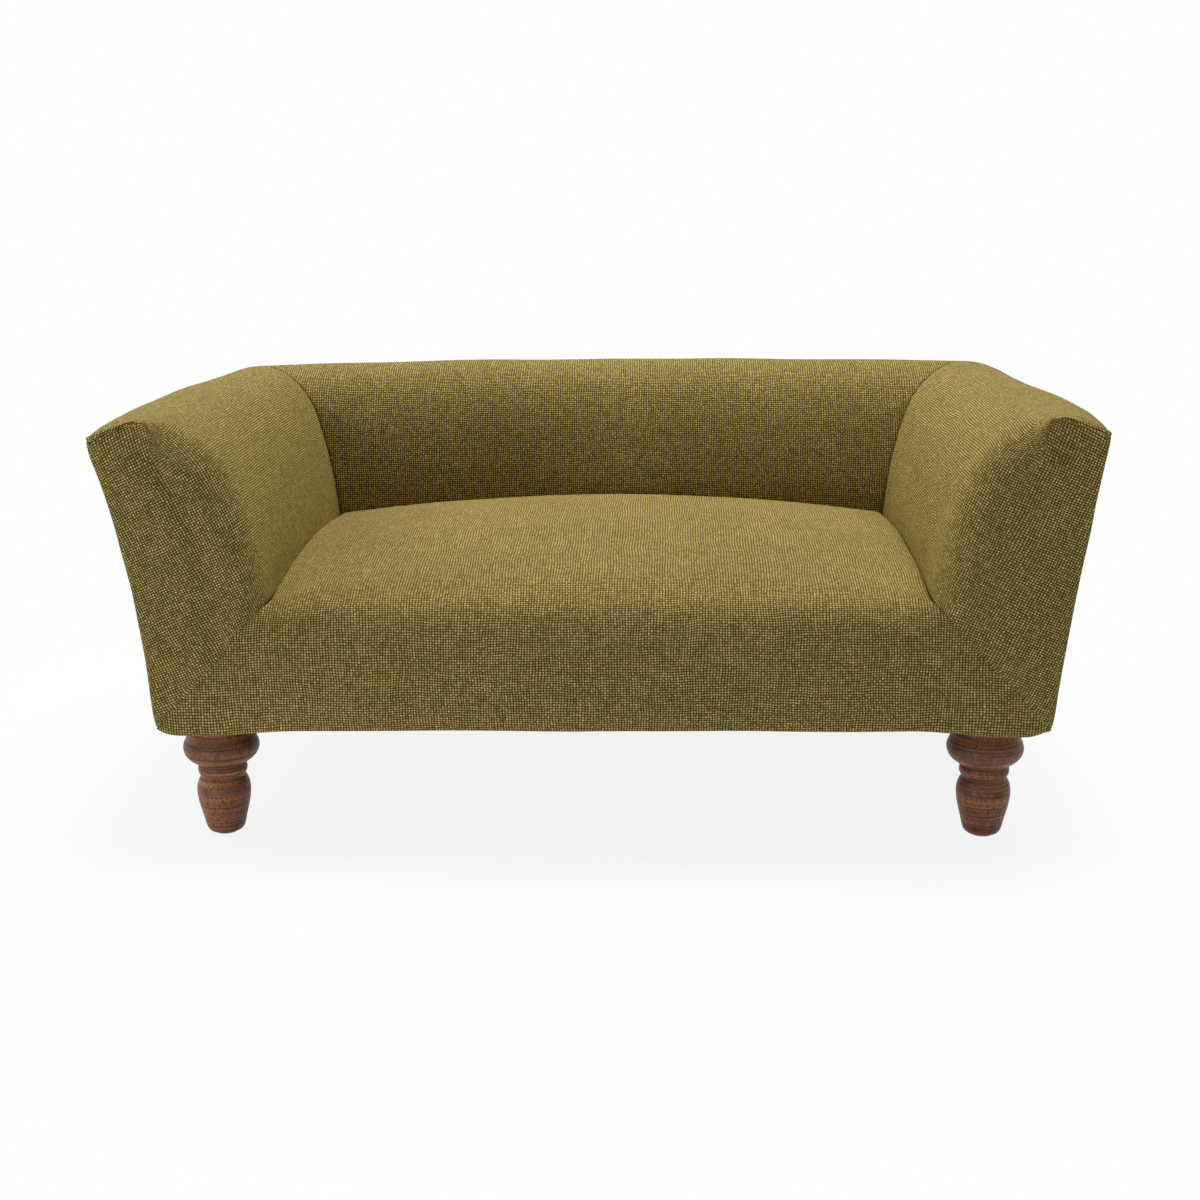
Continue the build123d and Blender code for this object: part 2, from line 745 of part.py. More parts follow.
def frame_pieces():
    """Timber, boards and webbing of the frame, by name."""
    board_x = half_width - wall.face_at(tuck_level, frame_inset)[0]
    end_board_x = board_x - panel_thickness
    rear_board_end_y = board_x - half_width + half_depth
    rear_board_y = rear_board_end_y - panel_thickness
    under_rail = slab(rail_top, top_rail_level)
    back_tack = tack_rail(back_run, -end_board_x, end_board_x)
    centre_board = wall_board(back_run, -panel_thickness / 2, panel_thickness / 2, rail_top)
    right = {
        "side_rail": frame_rail((rail_inner_x, panel_back_y), (rail_outer_x, rear_rail_inner_y)),
        "arm_front_board": wall_board(arm_run, front_frame_y, panel_back_y, frame_level),
        "arm_rear_board": wall_board(arm_run, rear_board_y, rear_board_end_y, rail_top) & under_rail,
        "back_end_board": wall_board(back_run, end_board_x, board_x, rail_top) & under_rail,
        "rear_corner_post": corner_post(),
        "arm_top_rail": arm_side(top_rail(arm_run, panel_back_y, half_depth), 0),
        "arm_tack_rail": tack_rail(arm_run, panel_back_y, rear_board_y),
        "arm_liner": arm_side(liner(arm_run, front_frame_y, half_depth), layer_gap / 2),
        "arm_outer_board": arm_side(outer_board(arm_run, front_frame_y, half_depth),
                                    layer_gap / 2),
    }
    pieces = {
        "front_rail": frame_rail((-board_x, front_frame_y), (board_x, panel_back_y)),
        "rear_rail": frame_rail((-rail_inner_x, rear_rail_inner_y),
                                (rail_inner_x, rear_rail_outer_y)),
        "centre_rail": block((-rail_thickness / 2, panel_back_y, frame_level),
                             (rail_thickness / 2, rear_rail_inner_y,
                              frame_level + centre_rail_height)),
        "back_top_rail": back_side(top_rail(back_run, -half_width, half_width), 0),
        "back_tack_rail": back_tack,
        "back_centre_board": (centre_board & under_rail) - back_tack,
        "back_liner": back_side(liner(back_run, -half_width, half_width), layer_gap / 2),
        "back_outer_board": back_side(outer_board(back_run, -half_width, half_width),
                                      layer_gap / 2),
        "webbing_long": webbing_long(),
        "webbing_cross": webbing_cross(),
        "frame_screws": Compound(frame_screws(0)),
    }
    for name, shape in right.items():
        pieces[f"{name}_right"] = shape
        pieces[f"{name}_left"] = mirrored(shape)
    for row in foot_rows:
        for name, side in sides.items():
            pieces[f"corner_block_{row}_{name}"] = corner_block(side, row)
    holes = frame_screws(fixing_clearance)
    for name in pieces:
        if name.endswith("_rail") or name.startswith(("side_rail", "corner_block")):
            pieces[name] = cut_by(pieces[name], holes)
    return pieces


def soft_pieces():
    """Foam and fabric, by name."""
    right = {
        "arm_pad": arm_pad(),
        "arm_cover": arm_cover(),
        "arm_outside_cover": arm_side(
            outside_cover(arm_run, front_y + hem_width + layer_gap, half_depth), layer_gap / 2),
    }
    pieces = {
        "seat_pad": seat_pad(),
        "seat_cover": seat_cover(),
        "back_pad": back_pad(),
        "back_inside_cover": back_inside_cover(),
        "back_outside_cover": back_side(outside_cover(back_run, -half_width, half_width),
                                        layer_gap / 2),
        "dust_cover": dust_cover(),
    }
    for name, shape in right.items():
        pieces[f"{name}_right"] = shape
        pieces[f"{name}_left"] = mirrored(shape)
    return pieces


def foot_pieces():
    """Feet, glides and their fixings, by name."""
    pieces = {f"foot_{corner}": shape for corner, shape in at_feet(turned_foot()).items()}
    pieces.update({f"glide_{corner}": shape for corner, shape in at_feet(glide()).items()})
    pieces["hanger_bolts"] = Compound(list(at_feet(hanger_bolt()).values()))
    pieces["tee_nuts"] = Compound(list(at_feet(tee_nut()).values()))
    return pieces


def main():
    """Build every piece and write one file for each."""
    os.makedirs("parts", exist_ok=True)
    for pieces in (frame_pieces(), soft_pieces(), foot_pieces()):
        for name, shape in pieces.items():
            export_step(shape, os.path.join("parts", f"{name}.step"))


main()
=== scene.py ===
"""Upholstered sofa-style pet bed: padded covers, turned feet and hidden frame, dressed for rendering."""

import json
import logging
import math
from dataclasses import dataclass
from enum import Enum
from typing import Callable, Sequence

import bpy
import numpy as np
from mathutils import Matrix, Vector, noise


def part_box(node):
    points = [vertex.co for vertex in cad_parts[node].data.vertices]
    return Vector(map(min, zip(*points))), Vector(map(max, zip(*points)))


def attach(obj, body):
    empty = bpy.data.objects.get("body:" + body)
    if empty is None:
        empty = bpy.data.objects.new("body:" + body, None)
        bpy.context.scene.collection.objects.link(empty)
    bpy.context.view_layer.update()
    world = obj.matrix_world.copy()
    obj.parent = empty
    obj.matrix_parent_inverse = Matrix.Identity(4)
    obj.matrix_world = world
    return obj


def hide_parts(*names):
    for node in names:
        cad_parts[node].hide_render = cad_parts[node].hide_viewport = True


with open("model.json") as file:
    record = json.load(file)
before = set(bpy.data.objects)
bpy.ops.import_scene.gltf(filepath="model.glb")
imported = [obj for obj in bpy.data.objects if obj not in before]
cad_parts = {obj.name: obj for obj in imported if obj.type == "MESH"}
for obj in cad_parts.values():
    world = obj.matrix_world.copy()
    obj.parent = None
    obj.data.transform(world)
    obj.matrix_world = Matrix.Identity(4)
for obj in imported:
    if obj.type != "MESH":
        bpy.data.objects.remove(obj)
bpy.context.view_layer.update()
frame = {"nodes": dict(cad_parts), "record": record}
LOG = logging.getLogger("pet_bed")
ROOT = "root"
FEET = ("foot_front_left", "foot_front_right", "foot_rear_left", "foot_rear_right")
WEAVE_MAP = "weave"
MM = 0.001

Point = tuple[float, float]
Colour = tuple[float, float, float]
Socket = bpy.types.NodeSocket
Move = Callable[[Vector, Vector], Vector]
Finishes = dict[str, bpy.types.Material]


class Side(Enum):
    """Left or right of the bed, seen from its front."""

    LEFT = -1
    RIGHT = 1

    @property
    def word(self) -> str:
        """Lower-case name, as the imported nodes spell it."""
        return self.name.lower()


@dataclass(frozen=True)
class BedSizes:
    """Sizes that the covers share, in metres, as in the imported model."""

    half_width: float = 0.400
    half_depth: float = 0.245
    base: float = 0.102
    crown: float = 0.356
    wall_flare: float = 0.0375
    outer_hollow: float = 0.005
    tip_drop: float = 0.010
    crown_inset: float = 0.045
    shoulder_radius: float = 0.065
    face_radius: float = 0.346
    crease_inset: float = 0.129
    crease: float = 0.218
    tuck: float = 0.203
    front_roll: float = 0.028
    edge_roll: float = 0.003
    seam_roll: float = 0.0022
    mitre_roll: float = 0.00025
    mitre_lap: float = 0.0006
    crown_sag: float = 0.0045
    cloth: float = 0.002
    padding: float = 0.012
    hem: float = 0.020
    lip: float = 0.3375
    seam_gap: float = 0.0003
    corner_round: float = 0.0050
    crown_corner_round: float = 0.026
    foot_corner_round: float = 0.0055
    corner_ease: float = 0.6

    @property
    def front(self) -> float:
        """Y of the front of the bed."""
        return -self.half_depth

    @property
    def depth(self) -> float:
        """Depth of the bed from front to back."""
        return 2 * self.half_depth


SIZES = BedSizes()


def on_circle(centre: Point, radius: float, angle: float) -> Point:
    """Point on a circle at an angle in radians."""
    return centre[0] + radius * math.cos(angle), centre[1] + radius * math.sin(angle)


def circle_through(a: Point, b: Point, c: Point) -> tuple[Point, float]:
    """Circle through three points.

    Args:
        a: First point.
        b: Second point.
        c: Third point.

    Returns:
        The centre and the radius.
    """
    area = 2 * (a[0] * (b[1] - c[1]) + b[0] * (c[1] - a[1]) + c[0] * (a[1] - b[1]))
    squares = [p[0] ** 2 + p[1] ** 2 for p in (a, b, c)]
    x = (squares[0] * (b[1] - c[1]) + squares[1] * (c[1] - a[1]) + squares[2] * (a[1] - b[1])) / area
    y = (squares[0] * (c[0] - b[0]) + squares[1] * (a[0] - c[0]) + squares[2] * (b[0] - a[0])) / area
    return (x, y), math.hypot(a[0] - x, a[1] - y)


def circles_meet(a: Point, radius_a: float, b: Point, radius_b: float) -> Point:
    """Point where two circles cross, to the left of the way between their centres.

    Args:
        a: Centre of the first circle.
        radius_a: Its radius.
        b: Centre of the second circle.
        radius_b: Its radius.

    Returns:
        The point.
    """
    gap = math.hypot(b[0] - a[0], b[1] - a[1])
    unit = ((b[0] - a[0]) / gap, (b[1] - a[1]) / gap)
    reach = (gap ** 2 + radius_a ** 2 - radius_b ** 2) / (2 * gap)
    rise = math.sqrt(max(radius_a ** 2 - reach ** 2, 0.0))
    return a[0] + reach * unit[0] - rise * unit[1], a[1] + reach * unit[1] + rise * unit[0]


def line_meets_circle(start: Point, end: Point, centre: Point, radius: float) -> Point:
    """Far point where a line meets a circle.

    Args:
        start: Start of the line.
        end: Another point of the line, on the way that is followed.
        centre: Centre of the circle.
        radius: Radius of the circle.

    Returns:
        The point.
    """
    length = math.hypot(end[0] - start[0], end[1] - start[1])
    unit = ((end[0] - start[0]) / length, (end[1] - start[1]) / length)
    gap = (start[0] - centre[0], start[1] - centre[1])
    along = gap[0] * unit[0] + gap[1] * unit[1]
    reach = math.sqrt(along ** 2 - gap[0] ** 2 - gap[1] ** 2 + radius ** 2) - along
    return start[0] + reach * unit[0], start[1] + reach * unit[1]


def roll_inset(depth: float, radius: float, inset: float = 0.0) -> float:
    """Inset of a surface behind a rounded edge.

    Args:
        depth: How far behind the edge the place is.
        radius: Radius of the rounding.
        inset: How far the whole surface is drawn in.

    Returns:
        The inset at that place.
    """
    if depth >= radius:
        return inset
    return radius - math.sqrt(max((radius - inset) ** 2 - (radius - depth) ** 2, 0.0))


def smooth_step(share: float) -> float:
    """Eased way from 0 to 1, flat at both ends."""
    held = min(max(share, 0.0), 1.0)
    return held * held * (3 - 2 * held)


def ease(share: np.ndarray) -> np.ndarray:
    """Eased way from 0 to 1 for many shares at once."""
    held = np.clip(share, 0, 1)
    return held * held * (3 - 2 * held)


def run_along(points: np.ndarray, axis: int = 0) -> np.ndarray:
    """Distance gone at each point along a line or along one direction of a grid.

    Args:
        points: The line's points, or the grid's by row and column.
        axis: Direction of the run.

    Returns:
        Distances, nothing at the start.
    """
    steps = np.linalg.norm(np.diff(points, axis=axis), axis=-1)
    start = np.zeros_like(np.take(steps, [0], axis=axis))
    return np.concatenate([start, np.cumsum(steps, axis=axis)], axis=axis)


@dataclass(frozen=True)
class Insets:
    """How far a nested surface lies inside the cover's own, side by side of the section."""

    outer: float = 0.0
    top: float = 0.0
    face: float = 0.0
    bottom: float = 0.0
    ramp: float = 0.24


class WallProfile:
    """Cross-section of a padded wall: distance in from its tip, and height."""

    def __init__(self, sizes: BedSizes, sag: float) -> None:
        """Works out the circles of the section.

        Args:
            sizes: The bed's sizes.
            sag: How far the crown has sunk.
        """
        crown = sizes.crown - sag
        tip = (0.0, sizes.crown - sizes.tip_drop)
        base = (sizes.wall_flare, sizes.base)
        chord = math.hypot(tip[0] - base[0], tip[1] - base[1])
        inward = ((tip[1] - base[1]) / chord, (base[0] - tip[0]) / chord)
        hollow = ((tip[0] + base[0]) / 2 + sizes.outer_hollow * inward[0],
                  (tip[1] + base[1]) / 2 + sizes.outer_hollow * inward[1])
        self.sizes = sizes
        self.crown = crown
        self.outer_centre, self.outer_radius = circle_through(base, hollow, tip)
        self.top_radius = (sizes.crown_inset ** 2 + sizes.tip_drop ** 2) / (2 * sizes.tip_drop)
        self.top_centre = (sizes.crown_inset, crown - self.top_radius)
        self.shoulder_centre = (sizes.crown_inset, crown - sizes.shoulder_radius)
        self.face_centre = circles_meet((sizes.crease_inset, sizes.crease), sizes.face_radius,
                                        self.shoulder_centre,
                                        sizes.face_radius - sizes.shoulder_radius)
        self.lean = math.atan2(self.shoulder_centre[1] - self.face_centre[1],
                               self.shoulder_centre[0] - self.face_centre[0])

    def face_at(self, level: float, inset: float = 0.0) -> float:
        """Distance in from the tip of the inner face at a height."""
        radius = self.sizes.face_radius - inset
        return on_circle(self.face_centre, radius,
                         math.asin((level - self.face_centre[1]) / radius))[0]

    def outer_at(self, level: float, inset: float = 0.0) -> float:
        """Distance in from the tip of the outer face at a height."""
        rise = level - self.outer_centre[1]
        return self.outer_centre[0] + math.sqrt((self.outer_radius + inset) ** 2 - rise ** 2)

    def mitre_line(self, raised: float) -> tuple[Point, Point]:
        """Line between the wall's foot and the seat crease, raised squarely.

        Args:
            raised: How far it is raised.

        Returns:
            Its low end and its high end.
        """
        low = (self.sizes.wall_flare, self.sizes.base)
        high = (self.face_at(self.sizes.tuck), self.sizes.tuck)
        length = math.hypot(high[0] - low[0], high[1] - low[1])
        shift = (-(high[1] - low[1]) / length * raised, (high[0] - low[0]) / length * raised)
        return (low[0] + shift[0], low[1] + shift[1]), (high[0] + shift[0], high[1] + shift[1])

    def corners(self, inset: Insets) -> dict[str, Point]:
        """Named corner points of the section.

        Args:
            inset: How far the section is drawn in.

        Returns:
            The foot, the heel and the tip.
        """
        line = self.mitre_line(inset.bottom)
        return {
            "foot": line_meets_circle(*line, self.outer_centre, self.outer_radius + inset.outer),
            "heel": line_meets_circle(*line, self.face_centre,
                                      self.sizes.face_radius - inset.face),
            "tip": circles_meet(self.outer_centre, self.outer_radius + inset.outer,
                                self.top_centre, self.top_radius - inset.top),
        }

    def outer_run(self, low: float, high: float, count: int, inset: float) -> list[Point]:
        """Points up the outer face between two heights."""
        return [(self.outer_at(level, inset), level) for level in np.linspace(low, high, count + 1)]

    def over(self, inset: Insets, counts: "StripCounts") -> list[Point]:
        """Points from the lip on the outer face, over the top and down the inner face.

        Args:
            inset: How far the surface is drawn in.
            counts: Steps on each stretch of the section.

        Returns:
            Distance in and height of every point.
        """
        sizes = self.sizes
        at = self.corners(inset)
        points = self.outer_run(sizes.lip, at["tip"][1], counts.lip, inset.outer)
        start = math.atan2(at["tip"][1] - self.top_centre[1], at["tip"][0] - self.top_centre[0])
        for share in np.linspace(0, 1, counts.top + 1)[1:]:
            points.append(on_circle(self.top_centre, self.top_radius - inset.top,
                                    start + (math.pi / 2 - start) * share))
        for share in np.linspace(0, 1, counts.shoulder + 1)[1:] ** 1.25:
            drawn = inset.top + (inset.face - inset.top) * smooth_step(share / inset.ramp)
            points.append(on_circle(self.shoulder_centre, sizes.shoulder_radius - drawn,
                                    math.pi / 2 + (self.lean - math.pi / 2) * share))
        radius = sizes.face_radius - inset.face
        end = math.asin((at["heel"][1] - self.face_centre[1]) / radius)
        for share in np.linspace(0, 1, counts.face + 1)[1:]:
            points.append(on_circle(self.face_centre, radius, self.lean + (end - self.lean) * share))
        return points


@dataclass(frozen=True)
class StripCounts:
    """Steps of the grid on each stretch of a wall's section."""

    lip: int = 2
    top: int = 10
    shoulder: int = 18
    face: int = 26
    side: int = 24

    @property
    def tip(self) -> int:
        """Place of the tip in the strip."""
        return self.lip

    @property
    def crest(self) -> int:
        """Place in the strip where the top meets the shoulder."""
        return self.lip + self.top

    @property
    def turn(self) -> int:
        """Place in the strip where the shoulder meets the inner face."""
        return self.lip + self.top + self.shoulder


class WallStrip:
    """Section points of a wall with and without its sag, ready to be blended."""

    def __init__(self, sizes: BedSizes, counts: StripCounts) -> None:
        """Works out the section with and without its sag.

        Args:
            sizes: The bed's sizes.
            counts: Steps on each stretch of the section.
        """
        self.sizes = sizes
        self.counts = counts
        self.level = WallProfile(sizes, 0.0)
        self.sunk = WallProfile(sizes, sizes.crown_sag)

    def over(self, inset: Insets) -> tuple[np.ndarray, np.ndarray]:
        """Level section points, and how far each moves when the crown sinks fully."""
        level = np.array(self.level.over(inset, self.counts))
        return level, np.array(self.sunk.over(inset, self.counts)) - level


@dataclass
class Patch:
    """Grid of a cover: its outer skin, the skin under it, cloth places and held points."""

    outer: np.ndarray
    inner: np.ndarray
    weave: np.ndarray
    held: np.ndarray


class ShellMesh:
    """Joins patches into one closed padded form: an outer skin, an inner skin and their rims."""

    # Points that round to the same step of 5 micrometres are one point.
    steps_per_metre = 2e5

    def __init__(self) -> None:
        """Starts with nothing in it."""
        self.index: dict[tuple[int, int, int], int] = {}
        self.outer: list[np.ndarray] = []
        self.inner: list[np.ndarray] = []
        self.held: list[float] = []
        self.faces: list[list[int]] = []
        self.places: list[list[Point]] = []

    def _vertex(self, outer: np.ndarray, inner: np.ndarray, held: float) -> int:
        """Number of the point at a place, added if it is new.

        Args:
            outer: Place of the point on the outer skin.
            inner: Place of the point under it.
            held: How firmly it is held while the cloth relaxes.

        Returns:
            The number.
        """
        key = tuple(int(round(value * self.steps_per_metre)) for value in outer)
        if key not in self.index:
            self.index[key] = len(self.outer)
            self.outer.append(outer)
            self.inner.append(inner)
            self.held.append(held)
        number = self.index[key]
        self.held[number] = max(self.held[number], held)
        return number

    def add(self, patch: Patch) -> None:
        """Adds the squares of a patch, turned so that they face outwards.

        Args:
            patch: The grid to add.
        """
        rows, columns = patch.outer.shape[:2]
        numbers = [[self._vertex(patch.outer[i, j], patch.inner[i, j], patch.held[i, j])
                    for j in range(columns)] for i in range(rows)]
        cells = [((i, j), (i + 1, j), (i + 1, j + 1), (i, j + 1))
                 for i in range(rows - 1) for j in range(columns - 1)]
        facing = 0.0
        for a, b, c, _ in cells:
            normal = np.cross(patch.outer[b] - patch.outer[a], patch.outer[c] - patch.outer[a])
            facing += float(np.dot(normal, patch.outer[a] - patch.inner[a]))
        for cell in cells:
            corners = cell if facing > 0 else cell[::-1]
            face = [numbers[i][j] for i, j in corners]
            places = [tuple(patch.weave[i, j]) for i, j in corners]
            kept = [k for k in range(4) if face[k] != face[k - 1]]
            if len(kept) >= 3:
                self.faces.append([face[k] for k in kept])
                self.places.append([places[k] for k in kept])

    def arrays(self) -> tuple[np.ndarray, list[list[int]], list[list[Point]], np.ndarray]:
        """The closed form, ready for a mesh.

        Returns:
            Points, faces, cloth places of each corner, and held weights.
        """
        count = len(self.outer)
        faces = list(self.faces)
        places = list(self.places)
        edges: dict[tuple[int, int], tuple[Point, Point]] = {}
        for face, spots in zip(self.faces, self.places):
            for k, a in enumerate(face):
                after = (k + 1) % len(face)
                edges[(a, face[after])] = (spots[k], spots[after])
        for face, spots in zip(self.faces, self.places):
            faces.append([number + count for number in reversed(face)])
            places.append(list(reversed(spots)))
        for (a, b), (spot_a, spot_b) in edges.items():
            if (b, a) not in edges:
                faces.append([b, a, a + count, b + count])
                places.append([spot_b, spot_a, spot_a, spot_b])
        points = np.array(self.outer + self.inner)
        held = np.array(self.held + [1.0] * count)
        return points, faces, places, held


class Corners:
    """Rounds the bed's rear corners in plan and its front bottom corners."""

    def __init__(self, sizes: BedSizes) -> None:
        """Keeps the sizes and the level wall that they give."""
        self.sizes = sizes
        self.profile = WallProfile(sizes, 0.0)

    @staticmethod
    def _rounded(u: np.ndarray, v: np.ndarray,
                 radius: float | np.ndarray) -> tuple[np.ndarray, np.ndarray]:
        """Moves points onto a rounded corner.

        Args:
            u: Distances from one side of the corner.
            v: Distances from its other side.
            radius: Radius of the rounding.

        Returns:
            The new distances.
        """
        near = (u < radius) & (v < radius) & (u > -radius) & (v > -radius)
        p = np.where(near, 1 - u / radius, 0.0)
        q = np.where(near, 1 - v / radius, 0.0)
        new_u = np.where(near, radius * (1 - p * np.sqrt(np.maximum(1 - q ** 2 / 2, 0))), u)
        new_v = np.where(near, radius * (1 - q * np.sqrt(np.maximum(1 - p ** 2 / 2, 0))), v)
        return new_u, new_v

    def apply(self, points: np.ndarray) -> np.ndarray:
        """Rounds both kinds of corner.

        Args:
            points: The points, one in a row.

        Returns:
            The moved points.
        """
        sizes = self.sizes
        points = points.copy()
        level = np.clip(points[:, 2], sizes.base, sizes.crown - sizes.tip_drop)
        hollow = np.array([self.profile.outer_at(z) for z in level])
        side = np.sign(points[:, 0])
        u = sizes.half_width - hollow - np.abs(points[:, 0])
        v = sizes.half_depth - hollow - points[:, 1]
        share = ease((points[:, 2] - sizes.lip) / (sizes.corner_ease * (sizes.crown - sizes.lip)))
        radius = sizes.corner_round + (sizes.crown_corner_round - sizes.corner_round) * share
        u, v = self._rounded(u, v, radius)
        points[:, 0] = side * (sizes.half_width - hollow - u)
        points[:, 1] = sizes.half_depth - hollow - v
        front = points[:, 1] < sizes.front + 2 * sizes.hem
        u = np.where(front, sizes.half_width - hollow - np.abs(points[:, 0]), 1.0)
        v = np.where(front, points[:, 2] - sizes.base, 1.0)
        u, v = self._rounded(u, v, sizes.foot_corner_round)
        points[:, 0] = np.where(front, side * (sizes.half_width - hollow - u), points[:, 0])
        points[:, 2] = np.where(front, sizes.base + v, points[:, 2])
        return points


@dataclass(frozen=True)
class HandWork:
    """Small unevenness of a bed padded by hand: places in metres, heights in millimetres."""

    sizes: BedSizes = SIZES
    out_at: tuple[float, ...] = (0.102, 0.127, 0.160, 0.220, 0.250, 0.270, 0.285, 0.300, 0.315,
                                 0.328, 0.337, 0.345, 0.360)
    out_left: tuple[float, ...] = (1.6, 1.6, 0.0, -0.8, 0.6, 0.8, 1.5, 2.2, 3.2, 5.0, 4.4, 2.0,
                                   -1.0)
    out_right: tuple[float, ...] = (4.2, 4.4, 4.6, 5.0, 4.9, 4.6, 3.2, 2.8, 2.0, 1.4, 0.8, -0.8,
                                    -2.6)
    lift_at: tuple[float, ...] = (0.0, 0.008, 0.025, 0.060, 0.110, 0.170, 0.230, 0.300, 0.380,
                                  0.440, 0.490)
    lift_left: tuple[float, ...] = (1.2, 3.8, 5.4, 5.2, 3.8, 2.4, 1.8, 0.0, -1.6, -1.4, 0.0)
    lift_right: tuple[float, ...] = (1.2, 4.4, 6.4, 7.0, 5.6, 3.8, 0.8, -1.4, -3.0, -2.2, 0.0)
    fill_at: tuple[float, ...] = (0.0, 0.012, 0.035, 0.065, 0.100)
    fill: tuple[float, ...] = (5.4, 5.0, 3.4, 1.2, 0.0)
    belly: float = 0.0045
    hollow: float = 0.0032
    arm_from: float = 0.280
    arm_over: float = 0.080
    crest_at: float = 0.042
    crest_over: float = 0.034
    fill_from: float = 0.322
    fill_over: float = 0.022
    panel_depth: float = 0.012
    hollow_beside: float = 0.013
    hollow_spread: float = 0.010
    hollow_from: float = 0.025
    hollow_over: float = 0.060
    belly_from: float = 0.250
    belly_over: float = 0.075
    belly_to: float = 0.350
    belly_end: float = 0.012
    belly_height: float = 0.022
    belly_behind: float = 0.004

    def widen(self, points: np.ndarray) -> np.ndarray:
        """Stands each arm a little further out.

        Args:
            points: The points, one in a row.

        Returns:
            The moved points.
        """
        points = points.copy()
        share = ease((np.abs(points[:, 0]) - self.arm_from) / self.arm_over)
        out = np.where(points[:, 0] > 0, np.interp(points[:, 2], self.out_at, self.out_right),
                       np.interp(points[:, 2], self.out_at, self.out_left)) * MM
        points[:, 0] += np.sign(points[:, 0]) * out * share
        return points

    def lift(self, side: Side) -> Move:
        """Fuller padding above the outer edge of an arm.

        Args:
            side: The arm that is padded.

        Returns:
            The move.
        """
        sizes = self.sizes
        heights = self.lift_right if side is Side.RIGHT else self.lift_left

        def move(point: Vector, normal: Vector) -> Vector:
            """Raises a point by the padding of its place.

            Args:
                point: Where the point is.
                normal: Its outward direction, not used.

            Returns:
                Its new place.
            """
            inwards = sizes.half_width - abs(point.x)
            near = 1 - smooth_step(inwards / sizes.crown_inset)
            near *= smooth_step((point.z - sizes.lip) / (sizes.crown - sizes.tip_drop - sizes.lip))
            depth = point.y - sizes.front
            amount = float(np.interp(depth, self.lift_at, heights)) * near
            crest = min(max(inwards / self.crest_at, 0.0), 1.0)
            crest *= 1 - smooth_step((inwards - self.crest_at) / self.crest_over)
            crest *= smooth_step((point.z - self.fill_from) / self.fill_over)
            amount += float(np.interp(depth, self.fill_at, self.fill)) * crest
            return point + Vector((0, 0, amount * MM))

        return move

    def sink_front(self, line: np.ndarray) -> Move:
        """Shallow hollow of an arm's front panel beside its inner roll.

        Args:
            line: Distance in and height of the roll's edge, from the shoulder down.

        Returns:
            The move.
        """
        sizes = self.sizes
        falling = line[::-1]

        def move(point: Vector, normal: Vector) -> Vector:
            """Pushes a point of the front panel in.

            Args:
                point: Where the point is.
                normal: Its outward direction.

            Returns:
                Its new place.
            """
            facing = smooth_step((-normal.y - 0.55) / 0.35)
            if facing == 0 or point.y > sizes.front + self.panel_depth:
                return point
            edge = float(np.interp(point.z, falling[:, 1], falling[:, 0]))
            beside = edge - (sizes.half_width - abs(point.x))
            amount = self.hollow * math.exp(-((beside - self.hollow_beside) / self.hollow_spread) ** 2)
            amount *= smooth_step((point.z - sizes.base - self.hollow_from) / self.hollow_over)
            return point + Vector((0, amount * facing, 0))

        return move

    def droop(self, point: Vector, normal: Vector) -> Vector:
        """Lets the bottom edge of the front panel hang fuller above the feet.

        Args:
            point: Where the point is.
            normal: Its outward direction, not used.

        Returns:
            Its new place.
        """
        sizes = self.sizes
        place = abs(point.x)
        along = smooth_step((place - self.belly_from) / self.belly_over)
        along *= 1 - smooth_step((place - self.belly_to) / self.belly_end)
        low = 1 - smooth_step((point.z - sizes.base) / self.belly_height)
        ahead = 1 - smooth_step((point.y - sizes.front - self.belly_behind) / self.panel_depth)
        return point + Vector((0, 0, -self.belly * along * low * ahead))


HAND_WORK = HandWork()


@dataclass(frozen=True)
class ClothRun:
    """How the padded form is relaxed under its own filling."""

    pressure: float = 4.0
    frames: int = 20
    most: float = 0.0018
    quality: int = 5


def link_mesh(name: str, points: Sequence[Sequence[float]], faces: Sequence[Sequence[int]],
              finish: bpy.types.Material, smooth: bool = True) -> bpy.types.Object:
    """New object of one mesh in one finish.

    Args:
        name: Name of the object and of its mesh.
        points: Places of the mesh's points.
        faces: Numbers of the points round each face.
        finish: Material of the mesh.
        smooth: Whether its faces are shaded as one rounded surface.

    Returns:
        The object, linked into the scene.
    """
    mesh = bpy.data.meshes.new(name)
    mesh.from_pydata(points, [], faces)
    mesh.materials.append(finish)
    mesh.polygons.foreach_set("use_smooth", [smooth] * len(mesh.polygons))
    mesh.update()
    made = bpy.data.objects.new(name, mesh)
    bpy.context.scene.collection.objects.link(made)
    return made


def round_off(piece: bpy.types.Object) -> None:
    """Adds the subdivision that rounds a piece's grid off."""
    finer = piece.modifiers.new("Finer", "SUBSURF")
    finer.levels = finer.render_levels = 1


